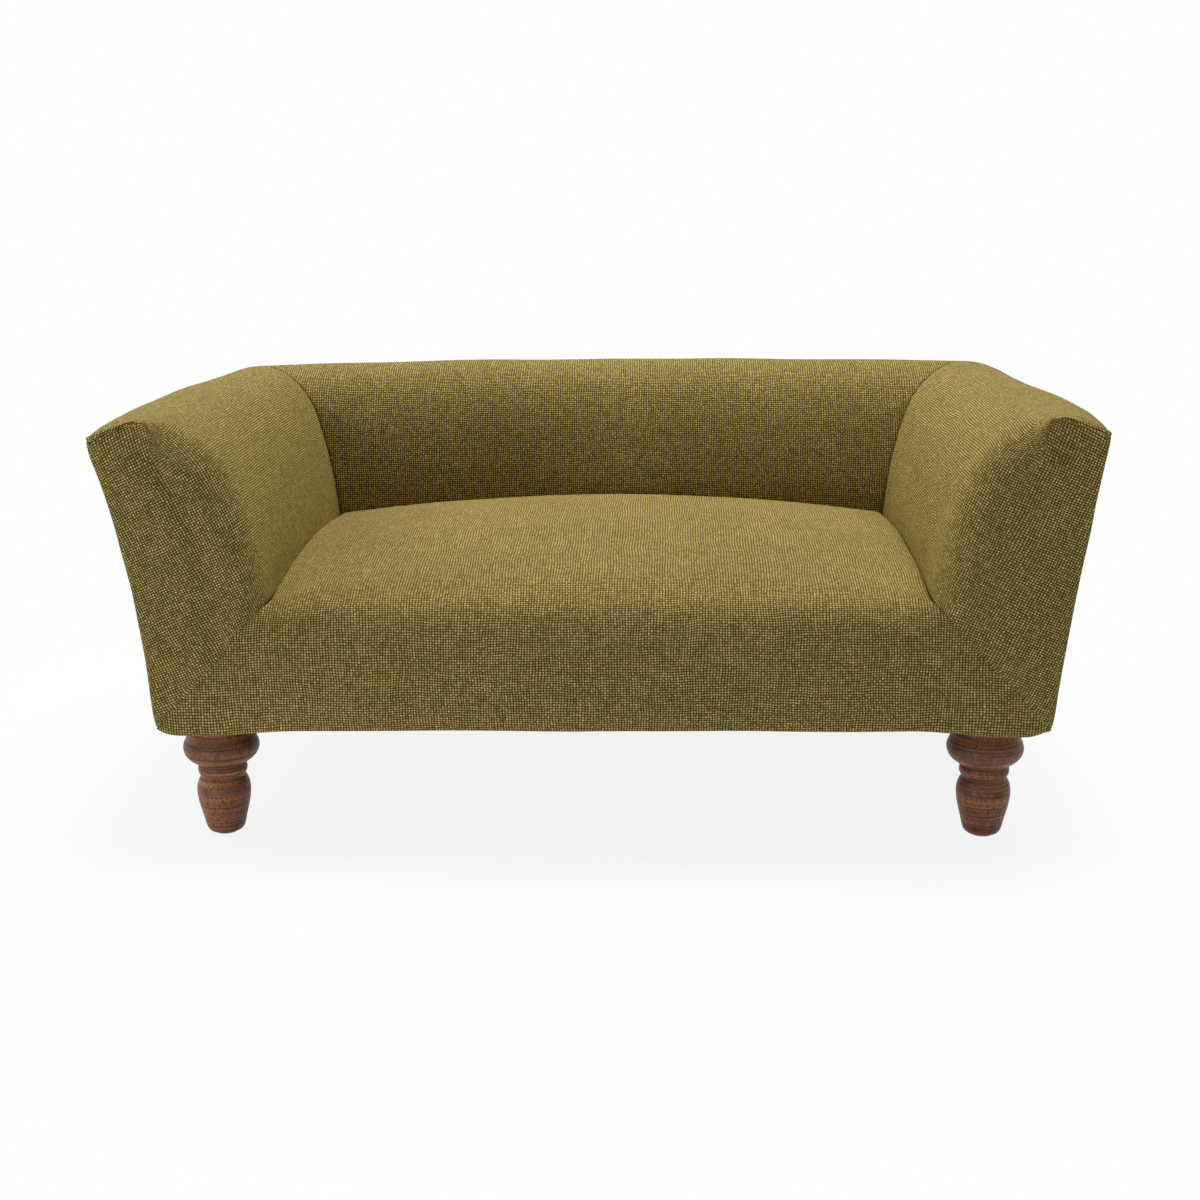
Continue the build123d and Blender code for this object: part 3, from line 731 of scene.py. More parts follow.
class SoftPiece:
    """A padded or sheet piece built from patches, relaxed and dressed."""

    def __init__(self, name: str, stands_for: Sequence[str], slot: str = "cover_fabric") -> None:
        """Starts an empty piece.

        Args:
            name: Name of the piece.
            stands_for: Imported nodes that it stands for.
            slot: Its material slot.
        """
        self.name = name
        self.slot = slot
        self.stands_for = list(stands_for)
        self.shell = ShellMesh()
        self.object: bpy.types.Object | None = None

    def build(self, finishes: Finishes, mirror: bool = False) -> None:
        """Makes the object from the patches.

        Args:
            finishes: Material of each slot.
            mirror: Whether the piece is turned over to the bed's left.
        """
        points, faces, places, held = self.shell.arrays()
        points = Corners(SIZES).apply(points)
        if mirror:
            points[:, 0] *= -1
            faces = [list(reversed(face)) for face in faces]
            places = [[(-u, v) for u, v in reversed(spots)] for spots in places]
        points = HAND_WORK.widen(points)
        self.object = link_mesh(self.name, points.tolist(), faces, finishes[self.slot])
        layer = self.object.data.uv_layers.new(name=WEAVE_MAP)
        flat = np.array([spot for spots in places for spot in spots], dtype=np.float32)
        layer.data.foreach_set("uv", flat.ravel())
        group = self.object.vertex_groups.new(name="held")
        for number in np.nonzero(held > 0)[0]:
            group.add([int(number)], float(held[number]), "REPLACE")

    def relax(self, run: ClothRun = ClothRun()) -> None:
        """Lets the filling press the cloth out between its seams, within a limit.

        Args:
            run: Pressure, length and limit of the run.
        """
        piece = self.object
        scene = bpy.context.scene
        cloth = piece.modifiers.new("Cloth", "CLOTH")
        cloth.settings.quality = run.quality
        cloth.settings.use_pressure = True
        cloth.settings.uniform_pressure_force = run.pressure
        cloth.settings.vertex_group_mass = "held"
        cloth.settings.pin_stiffness = 1.0
        cloth.settings.effector_weights.gravity = 0.0
        cloth.collision_settings.use_collision = False
        cloth.point_cache.frame_start = 1
        cloth.point_cache.frame_end = run.frames
        for step in range(1, run.frames + 1):
            scene.frame_set(step)
        shape = piece.evaluated_get(bpy.context.evaluated_depsgraph_get()).to_mesh()
        count = len(piece.data.vertices)
        after = np.zeros(count * 3, np.float32)
        shape.vertices.foreach_get("co", after)
        before = np.zeros(count * 3, np.float32)
        piece.data.vertices.foreach_get("co", before)
        move = (after - before).reshape(-1, 3)
        far = np.linalg.norm(move, axis=1, keepdims=True)
        soft = run.most * np.tanh(far / run.most) / np.maximum(far, 1e-9)
        piece.data.vertices.foreach_set("co", (before.reshape(-1, 3) + move * soft).ravel())
        piece.modifiers.remove(cloth)
        scene.frame_set(1)
        piece.data.update()
        LOG.info("%s relaxed, moved up to %.1f mm", self.name, float((far * soft).max()) / MM)

    def reshape(self, move: Callable[[Vector, Vector], Vector]) -> None:
        """Moves every point of the piece.

        Args:
            move: Gives a point's new place from its place and its normal.
        """
        mesh = self.object.data
        normals = [vertex.normal.copy() for vertex in mesh.vertices]
        for vertex, normal in zip(mesh.vertices, normals):
            vertex.co = move(vertex.co.copy(), normal)
        mesh.update()

    def hand_over(self) -> None:
        """Gives the piece its body and hides the nodes it stands for."""
        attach(self.object, ROOT)
        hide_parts(*self.stands_for)

    def settle(self) -> None:
        """Rounds a padded piece off and hands it over.
        """
        round_off(self.object)
        self.hand_over()


def hand_laid(size: float, amount: float, seed: float) -> Move:
    """Slow rise and fall of padding laid by hand.

    Args:
        size: Width of one rise.
        amount: Its greatest height.
        seed: Number that sets one pattern off from another.

    Returns:
        The move.
    """
    start = Vector((seed, seed * 0.7, -seed))

    def move(point: Vector, normal: Vector) -> Vector:
        """Point pushed out along its normal."""
        return point + normal * (amount * noise.noise(point / size + start))

    return move


PADDING_LAID = hand_laid(0.08, 0.9 * MM, 3.0)
OUTSIDE_LAID = hand_laid(0.12, 0.4 * MM, 11.0)


def coons(left: np.ndarray, right: np.ndarray, low: np.ndarray, high: np.ndarray) -> np.ndarray:
    """Grid that fills four edges.

    Args:
        left: Points up the left edge.
        right: Points up the right edge, as many.
        low: Points along the bottom edge, left to right.
        high: Points along the top edge, as many.

    Returns:
        Points by row and column.
    """
    rows, columns = len(left), len(low)
    v = np.linspace(0, 1, rows)[:, None, None]
    u = np.linspace(0, 1, columns)[None, :, None]
    across = left[:, None] * (1 - u) + right[:, None] * u
    upright = low[None] * (1 - v) + high[None] * v
    plain = (left[0] * (1 - u) * (1 - v) + right[0] * u * (1 - v)
             + left[-1] * (1 - u) * v + right[-1] * u * v)
    return across + upright - plain


@dataclass(frozen=True)
class Pleat:
    """Lap of the top cloth over the front panel, from an arm's tip inwards."""

    end: float = 0.041
    back: float = 0.009
    lip: float = 0.0010
    sink: float = 0.0005
    steps: int = 30
    start: float = 0.0002
    drop: float = 0.0023
    climb: float = 0.0020
    climb_from: float = 0.020
    climb_over: float = 0.015
    dip: float = 0.0014
    dip_from: float = 0.0370
    dip_over: float = 0.0040
    fade_from: float = 0.0365
    fade_over: float = 0.0045
    tip_over: float = 0.008
    over: tuple[Point, ...] = ((0.0, -0.5), (0.16, 0.15), (0.34, 0.4), (0.5, 0.6), (0.64, 0.75),
                               (0.78, 0.88), (0.9, 0.96), (1.0, 1.0))
    under: tuple[Point, ...] = ((0.75, 0.28), (0.35, 0.34), (-0.1, 0.1), (-0.8, -0.7))
    lining: tuple[float, float, float] = (0.0, 0.0012, -0.0010)

    def drop_at(self, place: float) -> float:
        """How far below the crown the lap ends, at a distance in from the tip."""
        climb = self.climb * smooth_step((place - self.climb_from) / self.climb_over)
        return self.drop - climb + self.dip * smooth_step((place - self.dip_from) / self.dip_over)

    def raise_by(self, raised: float, out: float) -> float:
        """Height over the panel of a share of the lip, where the lap stands out by a share."""
        return raised * self.lip * out - self.sink * (1 - out)


@dataclass
class ArmForm:
    """Padding and cloth of one arm: inside, top, front and the turned edges."""

    sizes: BedSizes = SIZES
    counts: StripCounts = StripCounts()
    pleat: Pleat = Pleat()
    rear_steps: int = 44
    weave_slant: float = math.radians(24.0)
    weave_column: int = 14
    weave_margin: int = 6
    settle_rows: float = 0.026
    settle_lines: float = 0.060
    inner_bottom: float = 0.003
    seam_step: float = 0.002
    roll_rows: tuple[float, ...] = (0, 0.43, 1.4, 2.8, 4.8, 8.0, 12.0, 16.0, 20.0, 24.0, 28.0)
    seam_rows: tuple[float, ...] = (3.6, 1.7, 0.7, 0.0)

    def _insets(self, row: float, seam: float, inner: bool) -> Insets:
        """Insets of one section of the arm.

        Args:
            row: Depth of the section behind the front.
            seam: Distance of the section before the mitre.
            inner: Whether it belongs to the inner skin.

        Returns:
            The insets.
        """
        sizes = self.sizes
        pad = sizes.padding if inner else 0.0
        edge = roll_inset(row, sizes.edge_roll, pad)
        face = roll_inset(row, sizes.front_roll, pad)
        turned = 0.0 if inner else roll_inset(seam, sizes.seam_roll)
        bottom = self.inner_bottom if inner else roll_inset(row, sizes.mitre_roll)
        outer = sizes.cloth if inner else roll_inset(row, sizes.edge_roll)
        return Insets(outer + (0 if inner else turned), max(edge, turned), max(face, turned), bottom)

    def _inner_depth(self, row: float) -> float:
        """Depth of the inner skin that lies under a row of the outer one.

        Args:
            row: Depth of the row behind the front.

        Returns:
            The inner skin's depth.
        """
        sizes = self.sizes
        if row >= sizes.front_roll:
            return row
        return sizes.padding + row * (sizes.front_roll - sizes.padding) / sizes.front_roll

    def _place(self, section: np.ndarray, sink: np.ndarray, depth: np.ndarray) -> np.ndarray:
        """Points of a section row in the bed's frame, sunk by their place along the arm.

        Args:
            section: Distance in and height of each point.
            sink: How far each moves when the crown sinks fully.
            depth: How far behind the front each lies.

        Returns:
            The points.
        """
        sizes = self.sizes
        middle = (sizes.depth - sizes.crown_inset) / 2
        share = ((depth - middle) / middle) ** 2
        put = section + sink * share[:, None]
        return np.stack([sizes.half_width - put[:, 0], sizes.front + depth, put[:, 1]], axis=1)

    def _rows(self) -> list[tuple[float, float, float]]:
        """Rows of the strip from front to back.

        Returns:
            Depth on the roll, share of the way to the mitre and seam distance of each.
        """
        rows = [(row * MM, 0.0, 1.0) for row in self.roll_rows]
        rows += [(self.sizes.front_roll, step / self.rear_steps, 1.0)
                 for step in range(1, self.rear_steps)]
        return rows + [(self.sizes.front_roll, 1.0, row * MM) for row in self.seam_rows]

    def _strip(self, strip: WallStrip) -> Patch:
        """The long grid from the lip over the top and down the inner face.

        Args:
            strip: The wall's section.

        Returns:
            The patch.
        """
        sizes = self.sizes
        outer_rows, inner_rows = [], []
        for row, share, seam in self._rows():
            for inner, store in ((False, outer_rows), (True, inner_rows)):
                depth = self._inner_depth(row) if inner else row
                section, sink = strip.over(self._insets(depth, seam, inner))
                end = sizes.depth - section[:, 0] - sizes.seam_gap
                last = end - self.seam_rows[0] * MM - self.seam_step
                along = depth + (last - depth) * share if seam >= 1 else end - seam
                along = np.broadcast_to(along, end.shape)
                store.append(self._place(section, sink, along))
        outer, inner = np.stack(outer_rows, 1), np.stack(inner_rows, 1)
        held = np.zeros(outer.shape[:2])
        held[:self.counts.tip + 2] = 1
        held[-4:] = 1
        held[:, -3:] = 1
        held[:, :2] = np.maximum(held[:, :2], 0.6)
        return Patch(outer, inner, self._strip_weave(outer), held)

    def _flat_place(self, points: np.ndarray) -> np.ndarray:
        """Cloth places of points on the front panel, whose weave lies at a slant.

        Args:
            points: The points.

        Returns:
            Their places.
        """
        inwards = self.sizes.half_width - points[..., 0]
        across, up = math.cos(self.weave_slant), math.sin(self.weave_slant)
        return np.stack([inwards * across + points[..., 2] * up,
                         points[..., 2] * across - inwards * up], axis=-1)

    def _strip_weave(self, outer: np.ndarray) -> np.ndarray:
        """Cloth places of the strip, carried on from the front panel and over the top.

        Args:
            outer: The strip's outer skin.

        Returns:
            A place for each of its points.
        """
        crest, turn, margin = self.counts.crest, self.counts.turn, self.weave_margin
        given = self._flat_place(outer[:, 0])
        heights = run_along(outer[:, self.weave_column])
        settled = given[turn + margin, 1] + heights[turn + margin] - heights
        edge = given.copy()
        edge[:crest, 1] = given[crest, 1] + heights[crest] - heights[:crest]
        edge[:crest, 0] = given[crest, 0]
        across = edge[:, 0].copy()
        across[:turn - margin] = across[turn - margin]
        back = run_along(outer, 1)
        rows = ease(back / self.settle_rows)
        lines = np.clip(back / self.settle_lines, 0, 1)
        u = edge[:, :1] * (1 - lines) + across[:, None] * lines + back
        v = edge[:, 1:] * (1 - rows) + settled[:, None] * rows
        return np.stack([u, v], axis=2)

    def _front_edges(self, strip: WallStrip, inner: bool) -> tuple[np.ndarray, ...]:
        """Edges of the front panel.

        Args:
            strip: The wall's section.
            inner: Whether the inner skin's edges are wanted.

        Returns:
            Left, right, bottom and top edge.
        """
        sizes, counts = self.sizes, self.counts
        depth = self._inner_depth(0.0) if inner else 0.0
        inset = self._insets(depth, 1.0, inner)
        section, sink = strip.over(inset)
        row = self._place(section, sink, np.full(len(section), depth))
        at = strip.level.corners(inset)
        side = np.array(strip.level.outer_run(at["foot"][1], sizes.lip, counts.side, inset.outer))
        side = self._place(side, 0 * side, np.full(len(side), depth))
        left = np.concatenate([side[:-1], row[:counts.tip + 1]])
        right = row[counts.turn:][::-1]
        high = row[counts.tip:counts.turn + 1]
        low = left[0] + (right[0] - left[0]) * np.linspace(0, 1, len(high))[:, None]
        return left, right, low, high

    def _front(self, strip: WallStrip) -> Patch:
        """The front panel between the side, the top, the roll and the seat's mitre.

        Args:
            strip: The wall's section.

        Returns:
            The patch.
        """
        outer = coons(*self._front_edges(strip, False))
        inner = coons(*self._front_edges(strip, True))
        weave = self._flat_place(outer)
        held = np.zeros(outer.shape[:2])
        held[0] = held[:, 0] = 1
        held[-1] = 0.8
        return Patch(outer, inner, weave, held)

    def _returns(self, strip: WallStrip) -> list[Patch]:
        """The turned edges: along the side, and under the front panel beside the seat.

        Args:
            strip: The wall's section.

        Returns:
            Both patches.
        """
        sizes, counts = self.sizes, self.counts
        sides: dict[bool, list[np.ndarray]] = {False: [], True: []}
        bottoms: dict[bool, list[np.ndarray]] = {False: [], True: []}
        rows = [row * MM for row in self.roll_rows if row * MM <= sizes.hem]
        for row in rows:
            for inner in (False, True):
                depth = self._inner_depth(row) if inner else row
                inset = self._insets(depth, 1.0, inner)
                at = strip.level.corners(inset)
                run = np.array(strip.level.outer_run(at["foot"][1], sizes.lip, counts.side,
                                                     inset.outer))
                sides[inner].append(self._place(run, 0 * run, np.full(len(run), depth)))
                section, sink = strip.over(inset)
                end = self._place(section[-1:], sink[-1:], np.array([depth]))[0]
                start = sides[inner][-1][0]
                shares = np.linspace(0, 1, counts.top + counts.shoulder + 1)[:, None]
                bottoms[inner].append(start + (end - start) * shares)
        around = np.array([-math.cos(self.weave_slant), math.sin(self.weave_slant)])
        patches = []
        for kind in (sides, bottoms):
            outer, inner = np.stack(kind[False], 1), np.stack(kind[True], 1)
            back = run_along(outer, 1)
            weave = self._flat_place(outer[:, 0])[:, None] + back[..., None] * around
            patches.append(Patch(outer, inner, weave, np.ones(outer.shape[:2])))
        return patches

    def _front_line(self) -> np.ndarray:
        """Edge of the front panel from the tip over the crown and down the inner roll.

        Returns:
            Distance in and height of its points.
        """
        strip = WallStrip(self.sizes, self.counts)
        section, sink = strip.over(self._insets(0.0, 1.0, False))
        return (section + sink)[self.counts.tip:]

    def roll_edge(self) -> np.ndarray:
        """Edge of the front panel down the inner roll."""
        return self._front_line()[self.counts.top:]

    def _fold_path(self, crown: float, drop: float) -> Callable[[float], tuple[Point, Point]]:
        """Way over the front edge of the crown, from behind it down to the fold.

        Args:
            crown: Height of the crown at this place.
            drop: How far below the crown the fold lies.

        Returns:
            Depth and height, and the outward direction, for a run along the way.
        """
        radius = self.sizes.edge_roll
        straight = self.pleat.back - radius
        low = math.asin(max(1 - drop / radius, 0.0))

        def at(share: float) -> tuple[Point, Point]:
            """Place on the way.

            Args:
                share: Share of the way that is gone.

            Returns:
                Depth and height, and the outward direction.
            """
            run = share * (straight + radius * (math.pi / 2 - low))
            if run < straight:
                return (self.pleat.back - run, crown), (0.0, 1.0)
            angle = math.pi / 2 - (run - straight) / radius
            place = (radius * (1 - math.cos(angle)), crown - radius * (1 - math.sin(angle)))
            return place, (-math.cos(angle), math.sin(angle))

        return at

    def _fold(self, strip: WallStrip) -> Patch:
        """The top cloth where it laps over the front panel, from the tip to the hooked end.

        Args:
            strip: The wall's section.

        Returns:
            The patch.
        """
        sizes, pleat = self.sizes, self.pleat
        section, sink = strip.over(Insets())
        line = (section + sink)[self.counts.tip:]
        outer, inner, weave = [], [], []
        for place in np.linspace(pleat.start, pleat.end, pleat.steps):
            crown = float(np.interp(place, line[:, 0], line[:, 1]))
            out = 1 - smooth_step((place - pleat.fade_from) / pleat.fade_over)
            near_tip = 1 - smooth_step(place / pleat.tip_over)
            way = self._fold_path(crown, pleat.drop_at(place))
            columns = []
            for share, raised in pleat.over:
                (depth, level), facing = way(share)
                lift = pleat.raise_by(raised, out)
                columns.append((depth + facing[0] * lift, level + facing[1] * lift))
            (depth, level), facing = way(1.0)
            for raised, past in pleat.under:
                lift = pleat.raise_by(raised, out)
                run = past * MM * out
                columns.append((depth + facing[0] * lift - facing[1] * run,
                                level + facing[1] * lift - abs(facing[0]) * run))
            row = np.array([[sizes.half_width - place - near_tip * roll_inset(max(depth, 0.0),
                                                                              sizes.edge_roll),
                             sizes.front + depth, level] for depth, level in columns])
            outer.append(row)
            inner.append(row + np.array(pleat.lining))
            weave.append([(place, -run) for run in run_along(row)])
        grid = np.array(outer)
        return Patch(grid, np.array(inner), np.array(weave), np.ones(grid.shape[:2]))

    def make(self, finishes: Finishes) -> list[bpy.types.Object]:
        """Builds both arms.

        Args:
            finishes: Material of each slot.

        Returns:
            Both arms.
        """
        strip = WallStrip(self.sizes, self.counts)
        patches = [self._strip(strip), self._front(strip), *self._returns(strip),
                   self._fold(strip)]
        made = []
        for side in Side:
            piece = SoftPiece(f"arm_{side.word}",
                              [f"arm_cover_{side.word}", f"arm_pad_{side.word}"])
            for patch in patches:
                piece.shell.add(patch)
            piece.build(finishes, mirror=side is Side.LEFT)
            piece.relax()
            for move in (PADDING_LAID, HAND_WORK.sink_front(self.roll_edge()), HAND_WORK.droop,
                         HAND_WORK.lift(side)):
                piece.reshape(move)
            piece.settle()
            made.append(piece.object)
        return made


@dataclass
class BackForm:
    """Padding and cloth of the back: inside and top, mitred at both ends."""

    sizes: BedSizes = SIZES
    counts: StripCounts = StripCounts()
    steps: int = 84
    seam_rows: tuple[float, ...] = (0.0, 0.7, 1.7, 3.6)
    inner_bottom: float = 0.003
    seam_step: float = 0.002

    def _columns(self) -> list[tuple[float, float]]:
        """Columns of the back from left to right.

        Returns:
            Share of the half length, and distance from the seam, of each.
        """
        ends = [(-1.0, row * MM) for row in self.seam_rows]
        middle = [(-1 + 2 * step / self.steps, 1.0) for step in range(1, self.steps)]
        return ends + middle + [(1.0, row * MM) for row in reversed(self.seam_rows)]

    def _skin(self, strip: WallStrip, inner: bool) -> np.ndarray:
        """One skin of the back.

        Args:
            strip: The wall's section.
            inner: Whether the inner skin is wanted.

        Returns:
            Points by section point and column.
        """
        sizes = self.sizes
        columns = []
        for share, seam in self._columns():
            turned = 0.0 if inner else roll_inset(seam, sizes.seam_roll)
            pad = sizes.padding if inner else turned
            inset = Insets(sizes.cloth if inner else turned, pad, pad,
                           self.inner_bottom if inner else 0.0)
            section, sink = strip.over(inset)
            reach = sizes.half_width - section[:, 0] - sizes.seam_gap
            last = reach - self.seam_rows[-1] * MM - self.seam_step
            x = share * last if seam >= 1 else np.sign(share) * (reach - seam)
            sag = (x / (sizes.half_width - sizes.crown_inset)) ** 2
            put = section + sink * sag[:, None]
            columns.append(np.stack([x, sizes.half_depth - put[:, 0], put[:, 1]], axis=1))
        return np.stack(columns, 1)

    def make(self, finishes: Finishes) -> list[bpy.types.Object]:
        """Builds the back.

        Args:
            finishes: Material of each slot.

        Returns:
            The back alone.
        """
        strip = WallStrip(self.sizes, self.counts)
        outer, inner = self._skin(strip, False), self._skin(strip, True)
        down = run_along(outer[:, outer.shape[1] // 2])
        weave = np.stack([outer[:, :, 0], np.repeat(-down[:, None], outer.shape[1], 1)], axis=2)
        held = np.zeros(outer.shape[:2])
        held[:self.counts.tip + 2] = held[-4:] = 1
        held[:, :3] = held[:, -3:] = 1
        piece = SoftPiece("back", ["back_inside_cover", "back_pad"])
        piece.shell.add(Patch(outer, inner, weave, held))
        piece.build(finishes)
        piece.relax()
        piece.reshape(PADDING_LAID)
        piece.settle()
        return [piece.object]


@dataclass(frozen=True)
class SeatColumn:
    """Profile of the seat at one place across it, from front to back."""

    roll: float
    turn: float
    start: float
    reach: float
    lead: float
    brow: float
    crown: float
    level: float


@dataclass
class SeatForm:
    """Padding and cloth of the fixed seat: crowned top, front roll and front panel."""

    sizes: BedSizes = SIZES
    crown_height: float = 0.138
    side_fall: float = 0.019
    crown_place: float = -0.028
    roll: float = 0.036
    side_roll: float = 0.026
    roll_turn: float = math.radians(65)
    side_turn: float = math.radians(82)
    brow_radius: float = 0.150
    brow_lead: float = math.radians(12)
    side_lead: float = math.radians(8)
    rear_radius: float = 1.262
    edge_round: float = 0.007
    tuck: float = 0.013
    padding: float = 0.0115
    front_steps: int = 16
    roll_steps: int = 12
    top_steps: int = 50
    half_columns: int = 46
    top_run: float = 0.355
    last_row: float = 0.975
    rear_rise: float = 0.016
    lap_over: float = 0.008
    mitre_reach: float = 0.005
    column_step: float = 0.002
    held_gap: float = 0.003
    inner_step: float = 0.004
    under_step: float = 0.003
    narrowest: float = 0.010
    fit_rounds: int = 40
    edge_gaps: tuple[float, ...] = (0.0075, 0.0048, 0.0026, 0.0011, 0.0003, 0.0)
    side_gaps: tuple[float, float] = (0.0004, 0.0008)
    tuck_gaps: tuple[float, ...] = (0.0050, 0.0026, 0.0011, 0.0003)
    hem_runs: tuple[float, ...] = (0.002, 0.006, 0.012)

    def _top(self, x: float, y: float) -> tuple[float, float]:
        """Height of the seat's top and its slope, behind the front roll.

        Args:
            x: Place across the seat.
            y: Place from front to back.

        Returns:
            Height and slope in radians.
        """
        form = self._shape(x)
        if y >= self.crown_place:
            lean = -math.asin((y - self.crown_place) / self.rear_radius)
            return form.crown - self.rear_radius * (1 - math.cos(lean)), lean
        if y >= form.start + form.reach:
            lean = math.asin((self.crown_place - y) / form.brow)
            return form.crown - form.brow * (1 - math.cos(lean)), lean
        lean = math.asin(math.cos(form.turn) - (y - form.start) / self.brow_radius)
        low = form.crown - form.brow * (1 - math.cos(form.lead))
        return low - self.brow_radius * (math.cos(form.lead) - math.cos(lean)), lean

    def _shape(self, x: float) -> SeatColumn:
        """Profile at a place across the seat: fuller in the middle, rounder at the sides.

        Args:
            x: The place.

        Returns:
            The profile.
        """
        sizes = self.sizes
        share = (x / (sizes.half_width - sizes.crease_inset)) ** 2
        side = min(share, 1.0)
        turn = self.roll_turn + (self.side_turn - self.roll_turn) * side
        lead = self.brow_lead + (self.side_lead - self.brow_lead) * side
        roll = self.roll - (self.roll - self.side_roll) * share
        crown = sizes.base + self.crown_height - self.side_fall * share
        start = sizes.front + roll * (1 - math.cos(turn))
        reach = self.brow_radius * (math.cos(turn) - math.sin(lead))
        brow = (self.crown_place - start - reach) / math.sin(lead)
        level = (crown - brow * (1 - math.cos(lead)) - roll * math.sin(turn)
                 - self.brow_radius * (math.cos(lead) - math.sin(turn)))
        return SeatColumn(roll, turn, start, reach, lead, brow, crown, level)

    def at(self, x: float, s: float, inset: float, end: float) -> np.ndarray:
        """Point of the seat's surface.

        Args:
            x: Place across the seat.
            s: 0 to 1 up the front, 1 to 2 round the roll, 2 to 3 back over the top.
            inset: How far under the surface the point is.
            end: Y where the top meets the back.

        Returns:
            The point in the bed's frame.
        """
        sizes = self.sizes
        form = self._shape(x)
        if s <= 1:
            return np.array([x, sizes.front + inset, sizes.base + (form.level - sizes.base) * s])
        if s <= 2:
            y, z = on_circle((sizes.front + form.roll, form.level), form.roll - inset,
                             math.pi - form.turn * (s - 1))
            return np.array([x, y, z])
        y = form.start + (end - form.start) * (s - 2)
        height, lean = self._top(x, y)
        return np.array([x, y + inset * math.sin(lean), height - inset * math.cos(lean)])

    def _half_width(self, wall: WallProfile, y: float, z: float) -> float:
        """Half width of the seat at a place of its surface: up to the arm or its mitre.

        Args:
            wall: Section of the arm.
            y: Place from front to back.
            z: Height.

        Returns:
            The half width.
        """
        sizes = self.sizes
        depth = max(y - sizes.front, 0.0)
        roll = roll_inset(depth, sizes.front_roll)
        low, high = wall.mitre_line(0.0)
        share = (z - low[1]) / (high[1] - low[1])
        mitre = low[0] + (high[0] - low[0]) * share
        face = wall.face_at(z, roll)
        gap = sizes.seam_gap - sizes.mitre_lap * (1 - smooth_step(depth / self.lap_over))
        beside = min(face, mitre) if z < sizes.tuck + self.mitre_reach else face
        return sizes.half_width - beside - gap

    def _edge(self, wall: WallProfile, s: float, end: float) -> float:
        """Half width where the surface meets the arm.

        Args:
            wall: Section of the arm.
            s: Place on the profile, as in at.
            end: Y where the top meets the back.

        Returns:
            The half width.
        """
        x = self.sizes.half_width - self.sizes.crease_inset
        for _ in range(self.fit_rounds):
            point = self.at(x, s, 0.0, end)
            x += 0.5 * (self._half_width(wall, point[1], point[2]) - x)
        return x

    def _path(self) -> list[tuple[float, float]]:
        """Rows along the seat, from the foot of the front to the tuck behind.

        Returns:
            Place on the profile, and extra inset, of each.
        """
        up = [(share, 0.0) for share in np.linspace(0, 1, self.front_steps + 1)]
        bend = [(1 + share, 0.0) for share in np.linspace(0, 1, self.roll_steps + 1)[1:]]
        over = [(2 + share, 0.0) for share in np.linspace(0, self.last_row, self.top_steps + 1)[1:]]
        fine = [(3.0 - gap / self.top_run, roll_inset(gap, self.edge_round))
                for gap in self.tuck_gaps]
        return up + bend + over + fine + [(3.0, self.edge_round), (3.0, self.tuck)]

    def _columns(self, edge: float, rounded: float) -> list[tuple[float, float, bool]]:
        """Columns of one row, from left to right.

        Args:
            edge: Half width of the row.
            rounded: Radius of the rounding at its ends.

        Returns:
            Place across, inset, and whether it is held, of each.
        """
        last = edge - self.edge_gaps[0] - self.column_step
        half = [(last * step / self.half_columns, 0.0, False)
                for step in range(self.half_columns + 1)]
        half += [(edge - gap, roll_inset(gap, rounded), gap < self.held_gap)
                 for gap in self.edge_gaps]
        half += [(edge - self.side_gaps[0], (rounded + self.tuck) / 2, True),
                 (edge - self.side_gaps[1], self.tuck, True)]
        return [(-x, inset, held) for x, inset, held in reversed(half)] + half[1:]

    def _skins(self) -> tuple[np.ndarray, np.ndarray, np.ndarray]:
        """Both skins of the seat by row and column.

        Returns:
            The outer skin, the inner skin and the held weights.
        """
        sizes = self.sizes
        wall = WallProfile(sizes, 0.0)
        rear = sizes.half_depth - wall.face_at(sizes.crease + self.rear_rise) - sizes.seam_gap
        outer_rows, inner_rows, held_rows = [], [], []
        for s, sunk in self._path():
            rounded = sizes.mitre_roll
            rounded += (self.edge_round - sizes.mitre_roll) * min(max(s - 1, 0.0), 1.0)
            outer, inner, held = [], [], []
            for x, inset, pinned in self._columns(self._edge(wall, s, rear), rounded):
                drawn = max(inset, sunk)
                outer.append(self.at(x, s, drawn, rear))
                under = drawn + (self.under_step if drawn > self.inner_step else 0.0)
                squeeze = 1 - (self.inner_step if pinned else 0.0) / max(abs(x), self.narrowest)
                point = self.at(x * squeeze, s, max(self.padding, under),
                                rear - (self.inner_step if sunk else 0.0))
                if s <= 1:
                    point[1] = min(point[1], sizes.front + self.padding)
                inner.append(point)
                held.append(1.0 if pinned or sunk else 0.0)
            outer_rows.append(outer)
            inner_rows.append(inner)
            held_rows.append(held)
        outer, inner, held = map(np.array, (outer_rows, inner_rows, held_rows))
        held[:2] = 1
        return outer, inner, held

    def make(self, finishes: Finishes) -> list[bpy.types.Object]:
        """Builds the seat.

        Args:
            finishes: Material of each slot.

        Returns:
            The seat alone.
        """
        outer, inner, held = self._skins()
        along = run_along(outer[:, outer.shape[1] // 2])
        weave = np.stack([outer[:, :, 0], np.repeat(along[:, None], outer.shape[1], 1)], axis=2)
        piece = SoftPiece("seat", ["seat_cover", "seat_pad"])
        piece.shell.add(Patch(outer, inner, weave, held))
        piece.shell.add(self._hem(outer[0], inner[0]))
        piece.build(finishes)
        piece.relax()
        for move in (PADDING_LAID, HAND_WORK.sink_front(ArmForm().roll_edge()), HAND_WORK.droop):
            piece.reshape(move)
        piece.settle()
        return [piece.object]

